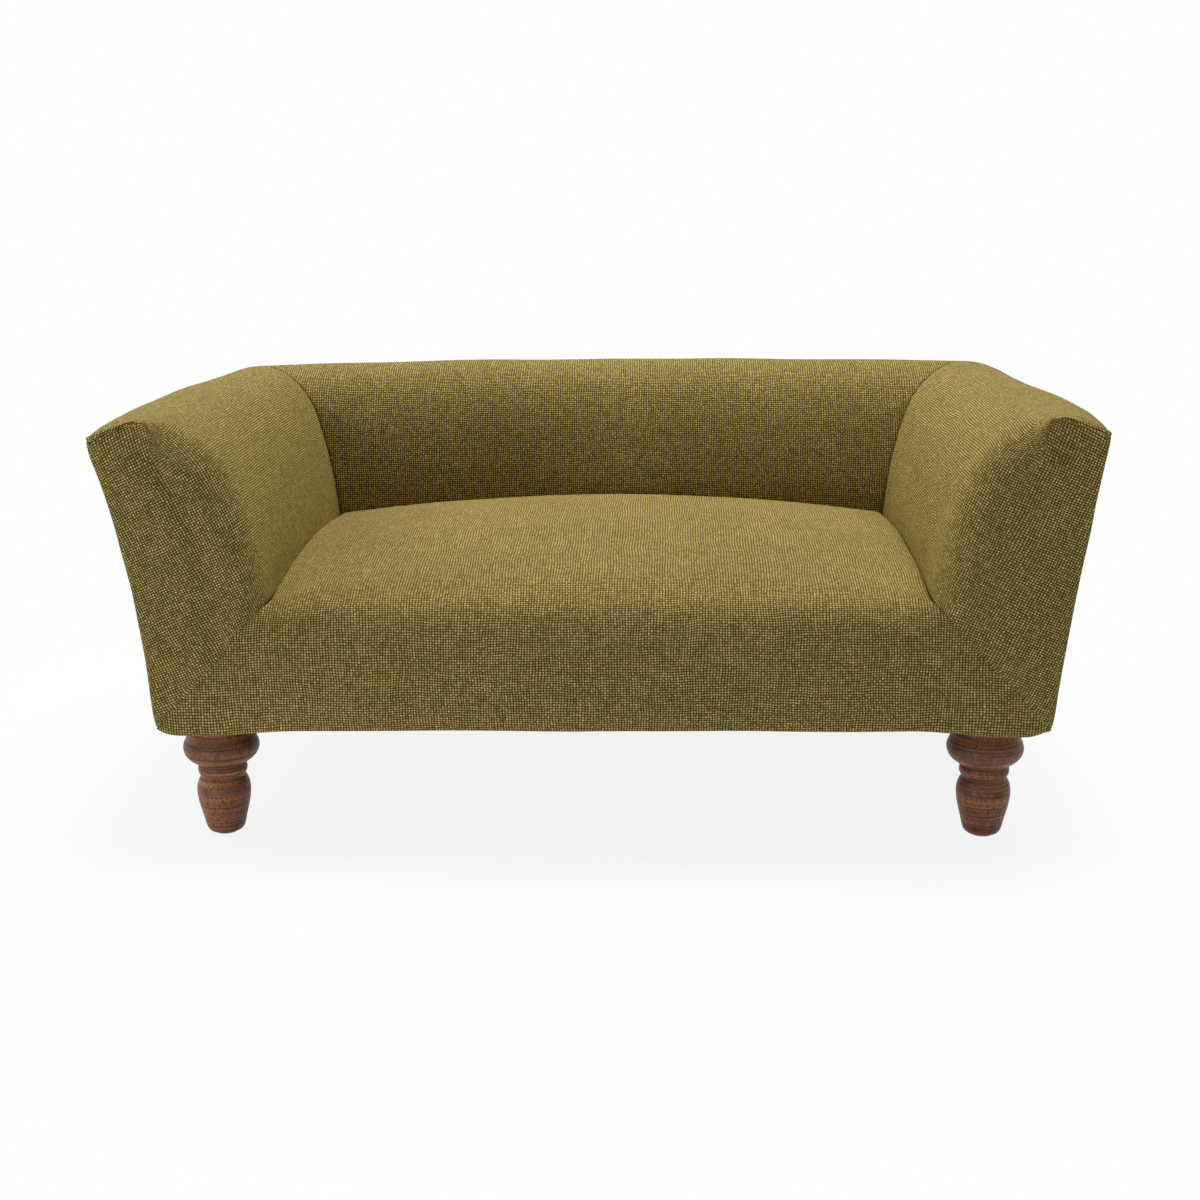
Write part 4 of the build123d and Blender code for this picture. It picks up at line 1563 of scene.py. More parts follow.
    def _hem(self, outer: np.ndarray, inner: np.ndarray) -> Patch:
        """The front panel's cloth turned back under the rail.

        Args:
            outer: Bottom row of the front panel's outer skin.
            inner: Bottom row of its inner skin.

        Returns:
            The patch of the hem.
        """
        sizes = self.sizes
        outer_rows, inner_rows = [outer], [inner]
        for run in (*self.hem_runs, sizes.hem):
            low = outer.copy()
            low[:, 1] += run
            low[:, 2] = sizes.base
            high = low.copy()
            high[:, 2] = sizes.base + sizes.cloth
            high[:, 1] = np.maximum(high[:, 1], inner[:, 1] + 0.2 * run)
            outer_rows.append(low)
            inner_rows.append(high)
        outer, inner = np.array(outer_rows), np.array(inner_rows)
        fall = np.linspace(0, -sizes.hem, len(outer_rows))
        weave = np.stack([outer[:, :, 0], np.repeat(fall[:, None], outer.shape[1], 1)], axis=2)
        return Patch(outer, inner, weave, np.ones(outer.shape[:2]))


@dataclass
class OutsideCloth:
    """Flat cloth down the outside of the arms and the back, and its hem under the rails."""

    sizes: BedSizes = SIZES
    rows: int = 30
    columns: int = 40
    edge: float = 0.0016
    puff: float = 0.0012
    top_drops: tuple[float, ...] = (0.0, 0.0005, 0.0014, 0.0030)
    first_drop: float = 0.006
    last_rise: float = 0.003
    foot_rise: float = 0.0008
    end_shares: tuple[float, ...] = (0.0, 0.003, 0.008)
    middle_share: float = 0.02
    lining_gap: float = 0.0002
    hem_depths: tuple[float, ...] = (0.002, 0.008)
    hem_gap: float = 0.0004

    def _grid(self, place: Callable[[float, float, float], np.ndarray],
              ends: Callable[[float], tuple[float, float]]) -> Patch:
        """Grid of one panel.

        Args:
            place: Gives a point from run along the wall, height and inset.
            ends: Gives the run's two ends at a height.

        Returns:
            The patch, top edge first, hem last.
        """
        sizes = self.sizes
        top = sizes.lip - sizes.seam_gap
        fall = top - sizes.base
        drops = [*self.top_drops, *np.linspace(self.first_drop, fall - self.last_rise, self.rows),
                 fall - self.foot_rise, fall]
        shares = [*self.end_shares,
                  *np.linspace(self.middle_share, 1 - self.middle_share, self.columns),
                  *(1 - share for share in reversed(self.end_shares))]
        outer, inner, weave = [], [], []
        for drop in drops:
            level = top - drop
            start, end = ends(level)
            turned = roll_inset(drop, self.edge)
            rows = []
            for share in shares:
                run = start + (end - start) * share
                beside = min(share, 1 - share) * abs(end - start)
                inset = max(turned, roll_inset(beside, self.edge))
                swell = self.puff * math.sin(math.pi * share) * math.sin(math.pi * drop / fall)
                rows.append((place(run, level, inset - swell),
                             place(run, level, sizes.cloth + self.lining_gap), (run, level)))
            outer.append([row[0] for row in rows])
            inner.append([row[1] for row in rows])
            weave.append([row[2] for row in rows])
        for depth in (*self.hem_depths, sizes.hem):
            start, end = ends(sizes.base)
            runs = [start + (end - start) * share for share in shares]
            low = [place(run, sizes.base, depth) for run in runs]
            under = max(depth, sizes.cloth + self.hem_gap)
            high = [place(run, sizes.base, under) for run in runs]
            outer.append(low)
            inner.append([point + np.array([0, 0, sizes.cloth]) for point in high])
            weave.append([(run, sizes.base - depth) for run in runs])
        grid = np.array(outer)
        return Patch(grid, np.array(inner), np.array(weave), np.ones(grid.shape[:2]))

    def make(self, finishes: Finishes) -> list[bpy.types.Object]:
        """Builds the panels of both arms and of the back.

        Args:
            finishes: Material of each slot.

        Returns:
            The three panels.
        """
        sizes = self.sizes
        wall = WallProfile(sizes, 0.0)
        front = sizes.front + sizes.hem + sizes.seam_gap

        def arm_place(run: float, level: float, inset: float) -> np.ndarray:
            """Point of an arm's outside."""
            return np.array([sizes.half_width - wall.outer_at(level, inset), run, level])

        def arm_ends(level: float) -> tuple[float, float]:
            """Front and rear end of an arm's outside at a height."""
            return front, sizes.half_depth - wall.outer_at(level) - sizes.seam_gap

        def back_place(run: float, level: float, inset: float) -> np.ndarray:
            """Point of the back's outside."""
            return np.array([run, sizes.half_depth - wall.outer_at(level, inset), level])

        def back_ends(level: float) -> tuple[float, float]:
            """Left and right end of the back's outside at a height."""
            reach = sizes.half_width - wall.outer_at(level) - sizes.seam_gap
            return -reach, reach

        plans = [(f"arm_outside_{side.word}", f"arm_outside_cover_{side.word}",
                  self._grid(arm_place, arm_ends), side is Side.LEFT) for side in Side]
        plans.append(("back_outside", "back_outside_cover", self._grid(back_place, back_ends),
                      False))
        made = []
        for name, node, patch, mirror in plans:
            piece = SoftPiece(name, [node])
            piece.shell.add(patch)
            piece.build(finishes, mirror=mirror)
            piece.reshape(OUTSIDE_LAID)
            piece.settle()
            made.append(piece.object)
        return made


@dataclass
class DustSheet:
    """Thin cloth stapled tight across the underside, and the staples that hold it."""

    node: str = "dust_cover"
    columns: int = 120
    rows: int = 72
    thickness: float = 0.0006
    sag: float = 0.0035
    scallop: float = 0.0014
    pitch: float = 0.036
    staple_inset: float = 0.006
    staple_width: float = 0.010
    wire: float = 0.0007
    hang_from: float = 0.022
    hang_over: float = 0.075
    foot_clear: float = 0.036
    foot_over: float = 0.060
    ripple: float = 0.25
    ripples: float = 9.0
    ripple_seed: float = 4.0
    pull_over: float = 0.010
    under_rails: float = 0.0001

    def __post_init__(self) -> None:
        """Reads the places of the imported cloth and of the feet."""
        self.low, self.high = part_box(self.node)
        self.feet = [sum(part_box(name), Vector()) / 2 for name in FEET]

    def _sag(self, x: float, y: float) -> float:
        """How far the cloth hangs, nothing at its edge and over the feet.

        Args:
            x: Place across the bed.
            y: Place from front to back.

        Returns:
            The drop.
        """
        low, high = self.low, self.high
        edge = min(x - low.x, high.x - x, y - low.y, high.y - y)
        hang = smooth_step((edge - self.hang_from) / self.hang_over) * self.sag
        for foot in self.feet:
            away = math.hypot(x - foot.x, y - foot.y)
            hang *= smooth_step((away - self.foot_clear) / self.foot_over)
        spot = Vector((x * self.ripples, y * self.ripples, self.ripple_seed))
        return hang * (1 + self.ripple * noise.noise(spot))

    def _edge_pull(self, run: float) -> float:
        """How far the cloth's edge draws in at a place along it, between two staples."""
        return self.scallop * abs(math.sin(math.pi * run / self.pitch))

    def make(self, finishes: Finishes) -> list[bpy.types.Object]:
        """Builds the cloth and its staples.

        Args:
            finishes: Material of each slot.

        Returns:
            The cloth and the staples.
        """
        low, high = self.low, self.high
        upper, lower, weave = [], [], []
        for share_y in np.linspace(0, 1, self.rows):
            row = []
            for share_x in np.linspace(0, 1, self.columns):
                x = low.x + (high.x - low.x) * share_x
                y = low.y + (high.y - low.y) * share_y
                near_x = 1 - smooth_step(min(x - low.x, high.x - x) / self.pull_over)
                near_y = 1 - smooth_step(min(y - low.y, high.y - y) / self.pull_over)
                inwards_x = math.copysign(self._edge_pull(y - low.y) * near_x, low.x + high.x - 2 * x)
                inwards_y = math.copysign(self._edge_pull(x - low.x) * near_y, low.y + high.y - 2 * y)
                level = high.z - self.under_rails - self._sag(x, y)
                row.append((x + inwards_x, y + inwards_y, level))
            upper.append(row)
            lower.append([(x, y, z - self.thickness) for x, y, z in row])
            weave.append([(x, y) for x, y, _ in row])
        piece = SoftPiece("dust_sheet", [self.node], "dust_cloth")
        outer = np.array(lower)
        piece.shell.add(Patch(outer, np.array(upper), np.array(weave), np.ones(outer.shape[:2])))
        piece.build(finishes)
        piece.hand_over()
        return [piece.object, self._staples(finishes["fixing_steel"])]

    def _staples(self, steel: bpy.types.Material) -> bpy.types.Object:
        """Crown of each staple, along all four edges.

        Args:
            steel: Finish of the staples.

        Returns:
            All the staples in one piece.
        """
        low, high = self.low, self.high
        inset, level = self.staple_inset, high.z - self.under_rails - self.thickness
        spots = []
        for x in np.arange(low.x + self.pitch, high.x - self.pitch / 2, self.pitch):
            spots += [(x, low.y + inset, True), (x, high.y - inset, True)]
        for y in np.arange(low.y + self.pitch, high.y - self.pitch / 2, self.pitch):
            spots += [(low.x + inset, y, False), (high.x - inset, y, False)]
        points, faces = [], []
        half_width, half_wire = self.staple_width / 2, self.wire / 2
        for x, y, along_x in spots:
            first = len(points)
            half = (half_width, half_wire) if along_x else (half_wire, half_width)
            for up in (-self.wire, self.under_rails):
                for dx, dy in ((-1, -1), (1, -1), (1, 1), (-1, 1)):
                    points.append((x + dx * half[0], y + dy * half[1], level + up))
            faces += [[first + number for number in face]
                      for face in ((3, 2, 1, 0), (4, 5, 6, 7), (0, 1, 5, 4), (1, 2, 6, 5),
                                   (2, 3, 7, 6), (3, 0, 4, 7))]
        staples = link_mesh("dust_sheet_staples", points, faces, steel, smooth=False)
        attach(staples, ROOT)
        return staples


@dataclass
class TurnedFeet:
    """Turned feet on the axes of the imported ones: toe, vase, bead and ball, with the bolt's bore."""

    turns: int = 48
    bore: float = 0.0044
    bore_end: float = 0.0605
    profile: tuple[tuple[float, float], ...] = (
        (10.8, 1.0), (12.6, 1.3), (14.6, 2.6), (16.0, 5.0), (16.9, 8.3), (18.1, 14.0),
        (19.8, 20.5), (21.3, 26.7), (22.3, 32.8), (22.6, 38.0), (22.2, 42.6), (21.0, 46.4),
        (19.5, 49.0), (18.7, 50.4), (18.8, 51.6), (20.2, 53.6), (20.9, 56.4), (20.4, 59.2),
        (19.5, 60.8), (19.4, 61.6), (21.0, 62.4), (24.4, 64.2), (28.2, 67.2), (30.9, 71.0),
        (32.1, 75.6), (31.5, 79.6), (29.5, 84.0), (27.2, 88.0), (25.6, 92.0), (25.0, 96.5),
        (24.9, 100.2), (24.5, 100.9))

    def make(self, finishes: Finishes) -> list[bpy.types.Object]:
        """Builds the four feet.

        Args:
            finishes: Material of each slot.

        Returns:
            The feet.
        """
        outline = [(0.0, self.profile[0][1] * MM)]
        outline += [(radius * MM, level * MM) for radius, level in self.profile]
        outline += [(self.bore, self.profile[-1][1] * MM), (self.bore, self.bore_end),
                    (0.0, self.bore_end)]
        made = []
        for node in FEET:
            low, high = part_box(node)
            centre = (low + high) / 2
            points: list[tuple[float, float, float]] = [(centre.x, centre.y, outline[0][1])]
            for radius, level in outline[1:-1]:
                for turn in range(self.turns):
                    angle = 2 * math.pi * turn / self.turns
                    points.append((centre.x + radius * math.cos(angle),
                                   centre.y + radius * math.sin(angle), level))
            points.append((centre.x, centre.y, outline[-1][1]))
            foot = link_mesh(node.replace("foot", "turned_foot"), points,
                             self._faces(len(outline) - 2), finishes["foot_wood"])
            round_off(foot)
            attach(foot, ROOT)
            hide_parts(node)
            made.append(foot)
        return made

    def _faces(self, rings: int) -> list[list[int]]:
        """Faces between the rings and at both ends of the outline.

        Args:
            rings: How many rings of points there are.

        Returns:
            Numbers of the points round each face.
        """
        faces = []
        last = 1 + rings * self.turns
        for turn in range(self.turns):
            after = (turn + 1) % self.turns
            faces.append([0, 1 + after, 1 + turn])
            for ring in range(rings - 1):
                low, high = 1 + ring * self.turns, 1 + (ring + 1) * self.turns
                faces.append([low + turn, low + after, high + after, high + turn])
            top = 1 + (rings - 1) * self.turns
            faces.append([top + turn, top + after, last])
        return faces


class NodeSheet:
    """Lays out and links the nodes of a material or a group."""

    def __init__(self, tree: bpy.types.NodeTree) -> None:
        """Args: tree is the node tree that is filled."""
        self.tree = tree

    def add(self, kind: str, inputs: dict | None = None, **settings: object) -> bpy.types.Node:
        """Adds a node.

        Args:
            kind: Its type.
            inputs: Sockets or values of its inputs, by name or number.
            **settings: Values of its properties.

        Returns:
            The node.
        """
        node = self.tree.nodes.new(kind)
        for key, value in settings.items():
            setattr(node, key, value)
        self.give(node, inputs or {})
        return node

    def put(self, target: Socket, value: object) -> None:
        """Links a socket to an input, or sets the input's own value.

        Args:
            target: The input.
            value: A socket, a number or a colour.
        """
        if isinstance(value, bpy.types.NodeSocket):
            self.tree.links.new(value, target)
        else:
            target.default_value = value

    def give(self, node: bpy.types.Node, inputs: dict) -> None:
        """Links or sets several inputs of a node, by name or number."""
        for label, value in inputs.items():
            self.put(node.inputs[label], value)

    def group(self, tree: bpy.types.NodeTree, inputs: dict) -> bpy.types.Node:
        """Shared group placed with its own values."""
        return self.add("ShaderNodeGroup", inputs, node_tree=tree)

    def bump(self, shader: bpy.types.Node, height: Socket, strength: float,
             distance: float) -> None:
        """Raises a shader's surface by a height."""
        node = self.add("ShaderNodeBump",
                        {"Strength": strength, "Distance": distance, "Height": height})
        self.put(shader.inputs["Normal"], node.outputs["Normal"])

    def direct(self) -> Socket:
        """Mask of the rays that come straight from the camera, from gloss or through glass."""
        path = self.add("ShaderNodeLightPath").outputs
        return self.math("MAXIMUM", path["Is Camera Ray"],
                         self.math("MAXIMUM", path["Is Glossy Ray"], path["Is Transmission Ray"]))

    def math(self, operation: str, *values: object) -> Socket:
        """Result of a sum on numbers or sockets."""
        return self.add("ShaderNodeMath", dict(enumerate(values)), operation=operation).outputs[0]

    def blend(self, factor: object, a: object, b: object, mode: str = "MIX") -> Socket:
        """Mix of two colours."""
        return self.add("ShaderNodeMix", {0: factor, 6: a, 7: b}, data_type="RGBA",
                        blend_type=mode).outputs[2]

    def lerp(self, factor: object, a: object, b: object) -> Socket:
        """Mix of two values."""
        return self.add("ShaderNodeMix", {0: factor, 2: a, 3: b}, data_type="FLOAT").outputs[0]

    def noise(self, vector: object, scale: object, detail: float = 2.0,
              roughness: float = 0.5) -> bpy.types.Node:
        """Noise texture on a vector."""
        return self.add("ShaderNodeTexNoise", {"Vector": vector, "Scale": scale,
                                               "Detail": detail, "Roughness": roughness})

    def vector(self, x: object, y: object, z: object = 0.0) -> Socket:
        """Vector from three values."""
        return self.add("ShaderNodeCombineXYZ", {0: x, 1: y, 2: z}).outputs[0]

    def split(self, vector: Socket) -> tuple[Socket, Socket, Socket]:
        """The three values of a vector."""
        values = self.add("ShaderNodeSeparateXYZ", {0: vector}).outputs
        return values[0], values[1], values[2]

    def remap(self, value: Socket, low: float, high: float, to_low: float = 0.0,
              to_high: float = 1.0) -> Socket:
        """Value moved from one range to another, held inside it."""
        ends = dict(enumerate((value, low, high, to_low, to_high)))
        return self.add("ShaderNodeMapRange", ends).outputs[0]


def new_group(name: str, inputs: dict[str, object], outputs: dict[str, str]) -> tuple[
        bpy.types.NodeTree, bpy.types.Node, bpy.types.Node, NodeSheet]:
    """Empty shader node group with named sockets.

    Args:
        name: Name of the group.
        inputs: Default value of each input by name, None for a vector.
        outputs: Kind of each output by name.

    Returns:
        The group, its input node, its output node and a sheet to fill it.
    """
    tree = bpy.data.node_groups.new(name, "ShaderNodeTree")
    for label, value in inputs.items():
        kind = "NodeSocketFloat"
        if value is None:
            kind = "NodeSocketVector"
        elif isinstance(value, tuple):
            kind = "NodeSocketColor"
        socket = tree.interface.new_socket(name=label, in_out="INPUT", socket_type=kind)
        if value is not None:
            socket.default_value = value
    for label, kind in outputs.items():
        tree.interface.new_socket(name=label, in_out="OUTPUT", socket_type=kind)
    sheet = NodeSheet(tree)
    return tree, sheet.add("NodeGroupInput"), sheet.add("NodeGroupOutput"), sheet


class Effects:
    """The shader node groups that the finishes share, each built once."""

    # Fineness, detail and reach in yarns of each layer of the yarns' wander.
    drifts = ((14.0, 2.0, 5.0), (42.0, 1.0, 1.6), (220.0, 1.0, 0.5))

    def __init__(self) -> None:
        """Builds every group."""
        self.weave = self._weave()
        self.grain = self._grain()
        self.speckle = self._speckle()

    @staticmethod
    def _weave() -> bpy.types.NodeTree:
        """Plain weave of slubby yarns, from cloth places in metres.

        Returns:
            The group.
        """
        tree, given, made, sheet = new_group(
            "plain_weave", {"Places": None, "Pitch": 0.0022, "Row": 0.0020, "Wander": 0.6,
                            "Slub": 0.5},
            {"Height": "NodeSocketFloat", "Float": "NodeSocketFloat", "Shade": "NodeSocketFloat",
             "Streak": "NodeSocketFloat"})
        places = given.outputs["Places"]
        u, v, _ = sheet.split(places)
        u = sheet.math("DIVIDE", u, given.outputs["Pitch"])
        v = sheet.math("DIVIDE", v, given.outputs["Row"])
        for scale, detail, amount in Effects.drifts:
            drift = sheet.noise(places, scale, detail)
            red, green, _ = sheet.split(drift.outputs["Color"])
            strength = sheet.math("MULTIPLY", given.outputs["Wander"], amount)
            u = sheet.math("MULTIPLY_ADD", sheet.math("SUBTRACT", red, 0.5), strength, u)
            v = sheet.math("MULTIPLY_ADD", sheet.math("SUBTRACT", green, 0.5), strength, v)
        cell_u, cell_v = sheet.math("FLOOR", u), sheet.math("FLOOR", v)
        hump_u = sheet.math("SINE", sheet.math("MULTIPLY", sheet.math("FRACT", u), math.pi))
        hump_v = sheet.math("SINE", sheet.math("MULTIPLY", sheet.math("FRACT", v), math.pi))
        odd = sheet.math("PINGPONG", sheet.math("ADD", cell_u, cell_v), 1.0)
        spot = sheet.add("ShaderNodeTexWhiteNoise", noise_dimensions="2D")
        sheet.put(spot.inputs["Vector"], sheet.vector(cell_u, cell_v))
        warp = sheet.noise(sheet.vector(sheet.math("MULTIPLY", cell_u, 7.31),
                                        sheet.math("MULTIPLY", v, 0.13)), 1.0, 1.0)
        weft = sheet.noise(sheet.vector(sheet.math("MULTIPLY", u, 0.11),
                                        sheet.math("MULTIPLY", cell_v, 5.77)), 1.0, 1.0)
        streak = sheet.lerp(odd, warp.outputs["Fac"], weft.outputs["Fac"])
        across = sheet.math("POWER", sheet.lerp(odd, hump_u, hump_v), 1.3)
        along = sheet.lerp(odd, hump_v, hump_u)
        rise = sheet.math("MULTIPLY", sheet.math("MULTIPLY", across, along),
                          sheet.lerp(odd, 1.0, 0.82))
        thick = sheet.math("MULTIPLY_ADD", sheet.math("SUBTRACT", streak, 0.5),
                           sheet.math("MULTIPLY", given.outputs["Slub"], 1.4), 1.0)
        height = sheet.math("MULTIPLY", rise, thick)
        # Shade is painted shade: darkest in the gaps between yarns and down their sides, lightest on
        # their crowns.
        shade = sheet.remap(height, 0.04, 0.82)
        sheet.give(made, {"Height": height, "Float": spot.outputs["Value"], "Shade": shade,
                          "Streak": streak})
        return tree

    @staticmethod
    def _grain() -> bpy.types.NodeTree:
        """Wood grain: long streaks, fine pores and slow changes of tone.

        Returns:
            The group.
        """
        tree, given, made, sheet = new_group(
            "wood_grain", {"Places": None, "Along": 3.0, "Across": 160.0, "Pores": 900.0},
            {"Tone": "NodeSocketFloat", "Pore": "NodeSocketFloat", "Height": "NodeSocketFloat"})
        x, y, z = sheet.split(given.outputs["Places"])
        along, pitch = given.outputs["Along"], given.outputs["Pores"]
        stretched = sheet.vector(sheet.math("MULTIPLY", x, along), sheet.math("MULTIPLY", y, along),
                                 sheet.math("MULTIPLY", z, given.outputs["Across"]))
        bands = sheet.noise(stretched, 1.0, 5.0, 0.62)
        wide = sheet.noise(stretched, 0.31, 2.0, 0.5)
        fine = sheet.vector(sheet.math("MULTIPLY", x, pitch), sheet.math("MULTIPLY", y, pitch),
                            sheet.math("MULTIPLY", z, sheet.math("MULTIPLY", pitch, 0.16)))
        pores = sheet.noise(fine, 1.0, 2.0, 0.6)
        tone = sheet.math("ADD", sheet.math("MULTIPLY", bands.outputs["Fac"], 0.65),
                          sheet.math("MULTIPLY", wide.outputs["Fac"], 0.35))
        pore = sheet.remap(pores.outputs["Fac"], 0.50, 0.64)
        height = sheet.math("SUBTRACT", tone, sheet.math("MULTIPLY", pore, 0.35))
        sheet.give(made, {"Tone": tone, "Pore": pore, "Height": height})
        return tree

    @staticmethod
    def _speckle() -> bpy.types.NodeTree:
        """Cells, dust and small marks of foam, card and metal.

        Returns:
            The group.
        """
        tree, given, made, sheet = new_group(
            "speckle", {"Places": None, "Size": 600.0},
            {"Mask": "NodeSocketFloat", "Height": "NodeSocketFloat"})
        fine = sheet.noise(given.outputs["Places"], given.outputs["Size"], 3.0, 0.65)
        slow = sheet.noise(given.outputs["Places"], 22.0, 3.0, 0.5)
        mask = sheet.math("MULTIPLY", fine.outputs["Fac"],
                          sheet.math("ADD", slow.outputs["Fac"], 0.5))
        sheet.give(made, {"Mask": mask, "Height": fine.outputs["Fac"]})
        return tree


def new_material(name: str) -> tuple[bpy.types.Material, NodeSheet, bpy.types.Node]:
    """Empty material.

    Args:
        name: Name of the material.

    Returns:
        The material, its sheet and its main shader.
    """
    material = bpy.data.materials.new(name)
    material.use_nodes = True
    sheet = NodeSheet(material.node_tree)
    return material, sheet, material.node_tree.nodes["Principled BSDF"]


def opaque(colour: Colour) -> tuple[float, float, float, float]:
    """Colour with full alpha."""
    return (*colour, 1.0)


@dataclass(frozen=True)
class WovenFinish:
    """A woven cloth: yarn colours, the painted shade between yarns, pitch, unevenness and sheen."""

    name: str
    light: Colour
    middle: Colour
    deep: Colour
    pitch: float = 0.00226
    row: float = 0.00205
    wander: float = 0.6
    slub: float = 0.4
    relief: float = 0.00085
    roughness: float = 0.9
    sheen: float = 0.25
    sheen_tint: Colour = (0.55, 0.44, 0.11)
    mapped: bool = True

    def make(self, effects: Effects) -> bpy.types.Material:
        """Material of the cloth.

        Args:
            effects: The shared groups.

        Returns:
            The material.
        """
        material, sheet, shader = new_material(self.name)
        if self.mapped:
            places = sheet.add("ShaderNodeUVMap", uv_map=WEAVE_MAP).outputs["UV"]
        else:
            places = sheet.add("ShaderNodeTexCoord").outputs["Object"]
        weave = sheet.group(effects.weave, {"Places": places, "Pitch": self.pitch,
                                            "Row": self.row, "Wander": self.wander,
                                            "Slub": self.slub})
        # The deep colour, mixed in by the Shade mask, is painted shade in the gaps between the yarns.
        yarn = sheet.blend(weave.outputs["Float"], opaque(self.middle), opaque(self.light))
        cloth = sheet.blend(weave.outputs["Shade"], opaque(self.deep), yarn)
        slow = sheet.noise(places, 9.0, 4.0, 0.6)
        cast = sheet.remap(slow.outputs["Fac"], 0.3, 0.7, 0.94, 1.06)
        streak = sheet.remap(weave.outputs["Streak"], 0.3, 0.7, 0.92, 1.08)
        tone = sheet.math("MULTIPLY", cast, streak)
        cloth = sheet.blend(1.0, cloth, sheet.vector(tone, tone, tone), "MULTIPLY")
        sheet.give(shader, {"Base Color": cloth, "Roughness": self.roughness,
                            "Sheen Weight": self.sheen, "Sheen Roughness": 0.5,
                            "Sheen Tint": opaque(self.sheen_tint), "Specular IOR Level": 0.12})
        sheet.bump(shader, weave.outputs["Height"], 0.8, self.relief)
        return material


@dataclass(frozen=True)
class WoodFinish:
    """A wood: tones, streaks, pores, its sheen of wax or stained finish, and painted shade that darkens
    it above a height.
    """

    name: str
    light: Colour
    deep: Colour
    along: float = 3.0
    across: float = 160.0
    pores: float = 900.0
    contrast: float = 0.5
    # Painted shade: above this height the wood is darkened, standing in for the shade under the bed's
    # body.
    painted_shade_from: float = 1.0
    painted_shade_depth: float = 1.0
    roughness: float = 0.5
    specular: float = 0.35
    relief: float = 0.0002
    painted_shade_over: float = 0.012
    widest: float = 0.21
    narrowing: float = 0.14

    def make(self, effects: Effects) -> bpy.types.Material:
        """Material of the wood.

        Args:
            effects: The shared groups.

        Returns:
            The material.
        """
        material, sheet, shader = new_material(self.name)
        places = sheet.add("ShaderNodeTexCoord").outputs["Object"]
        grain = sheet.group(effects.grain, {"Places": places, "Along": self.along,
                                            "Across": self.across, "Pores": self.pores})
        half = self.widest - self.narrowing * self.contrast
        tone = sheet.remap(grain.outputs["Tone"], 0.5 - half, 0.5 + half)
        wood = sheet.blend(tone, opaque(self.deep), opaque(self.light))
        # Painted shade: the wood is darkened above a height, the shade under the bed's body on the ball
        # of each foot.
        _, _, height = sheet.split(places)
        painted_shade = sheet.remap(height, self.painted_shade_from, self.painted_shade_from + self.painted_shade_over, 1.0,
                            self.painted_shade_depth)
        wood = sheet.blend(1.0, wood, sheet.vector(painted_shade, painted_shade, painted_shade), "MULTIPLY")
        wood = sheet.blend(sheet.math("MULTIPLY", grain.outputs["Pore"], 0.8), wood,
                           opaque(tuple(value * 0.3 for value in self.deep)))
        rough = sheet.math("MULTIPLY_ADD", grain.outputs["Pore"], 0.25, self.roughness)
        sheet.give(shader, {"Base Color": wood, "Roughness": rough,
                            "Specular IOR Level": self.specular})
        sheet.bump(shader, grain.outputs["Height"], 0.6, self.relief)
        return material


@dataclass(frozen=True)
class PlainFinish:
    """Foam, card or metal: two tones, speckled."""

    name: str
    light: Colour
    deep: Colour
    size: float = 600.0
    roughness: float = 0.8
    metallic: float = 0.0
    relief: float = 0.0002

    def make(self, effects: Effects) -> bpy.types.Material:
        """Material of the piece.

        Args:
            effects: The shared groups.

        Returns:
            The material.
        """
        material, sheet, shader = new_material(self.name)
        places = sheet.add("ShaderNodeTexCoord").outputs["Object"]
        speckle = sheet.group(effects.speckle, {"Places": places, "Size": self.size})
        tone = sheet.remap(speckle.outputs["Mask"], 0.3, 0.7)
        rough = sheet.math("MULTIPLY_ADD", speckle.outputs["Mask"], 0.15, self.roughness - 0.08)
        sheet.give(shader, {"Base Color": sheet.blend(tone, opaque(self.deep), opaque(self.light)),
                            "Roughness": rough, "Metallic": self.metallic})
        sheet.bump(shader, speckle.outputs["Height"], 0.5, self.relief)
        return material


COVER = WovenFinish("olive_weave", (0.92, 0.725, 0.258), (0.475, 0.362, 0.092),
                    (0.052, 0.033, 0.005))
DUST_CLOTH = WovenFinish("black_dust_cloth", (0.03, 0.03, 0.03), (0.02, 0.02, 0.02),
                         (0.008, 0.008, 0.008), pitch=0.0012, row=0.0012, relief=0.0002,
                         sheen_tint=(0.1, 0.1, 0.1), mapped=False)
WEBBING = WovenFinish("webbing_weave", (0.09, 0.09, 0.10), (0.045, 0.045, 0.05),
                      (0.01, 0.01, 0.01), pitch=0.0016, row=0.0016, wander=0.1,
                      sheen_tint=(0.1, 0.1, 0.1), mapped=False)
# The foot wood is painted darker on its ball, the shade under the bed's body.
FOOT_WOOD = WoodFinish("walnut_stain", (0.555, 0.208, 0.078), (0.054, 0.018, 0.007),
                       along=9.0, across=560.0, pores=1150.0, contrast=0.75, roughness=0.42,
                       specular=0.36, painted_shade_from=0.066, painted_shade_depth=0.68)
FRAME_WOOD = WoodFinish("sawn_pine", (0.62, 0.44, 0.25), (0.42, 0.26, 0.12), along=5.0,
                        across=140.0, roughness=0.7)
LINER_WOOD = WoodFinish("thin_board", (0.42, 0.29, 0.17), (0.27, 0.17, 0.09), along=60.0,
                        across=90.0, roughness=0.75)
FOAM = PlainFinish("cream_foam", (0.78, 0.73, 0.52), (0.62, 0.56, 0.36), size=900.0,
                   roughness=0.95, relief=0.0005)
CARD = PlainFinish("grey_card", (0.48, 0.40, 0.29), (0.36, 0.29, 0.20), size=300.0)
ZINC = PlainFinish("zinc_plate", (0.62, 0.62, 0.60), (0.42, 0.42, 0.41), size=260.0,
                   roughness=0.38, metallic=1.0, relief=0.00005)
BROWNED = PlainFinish("browned_steel", (0.085, 0.055, 0.04), (0.05, 0.032, 0.024), size=260.0,
                      roughness=0.45, metallic=1.0, relief=0.00005)


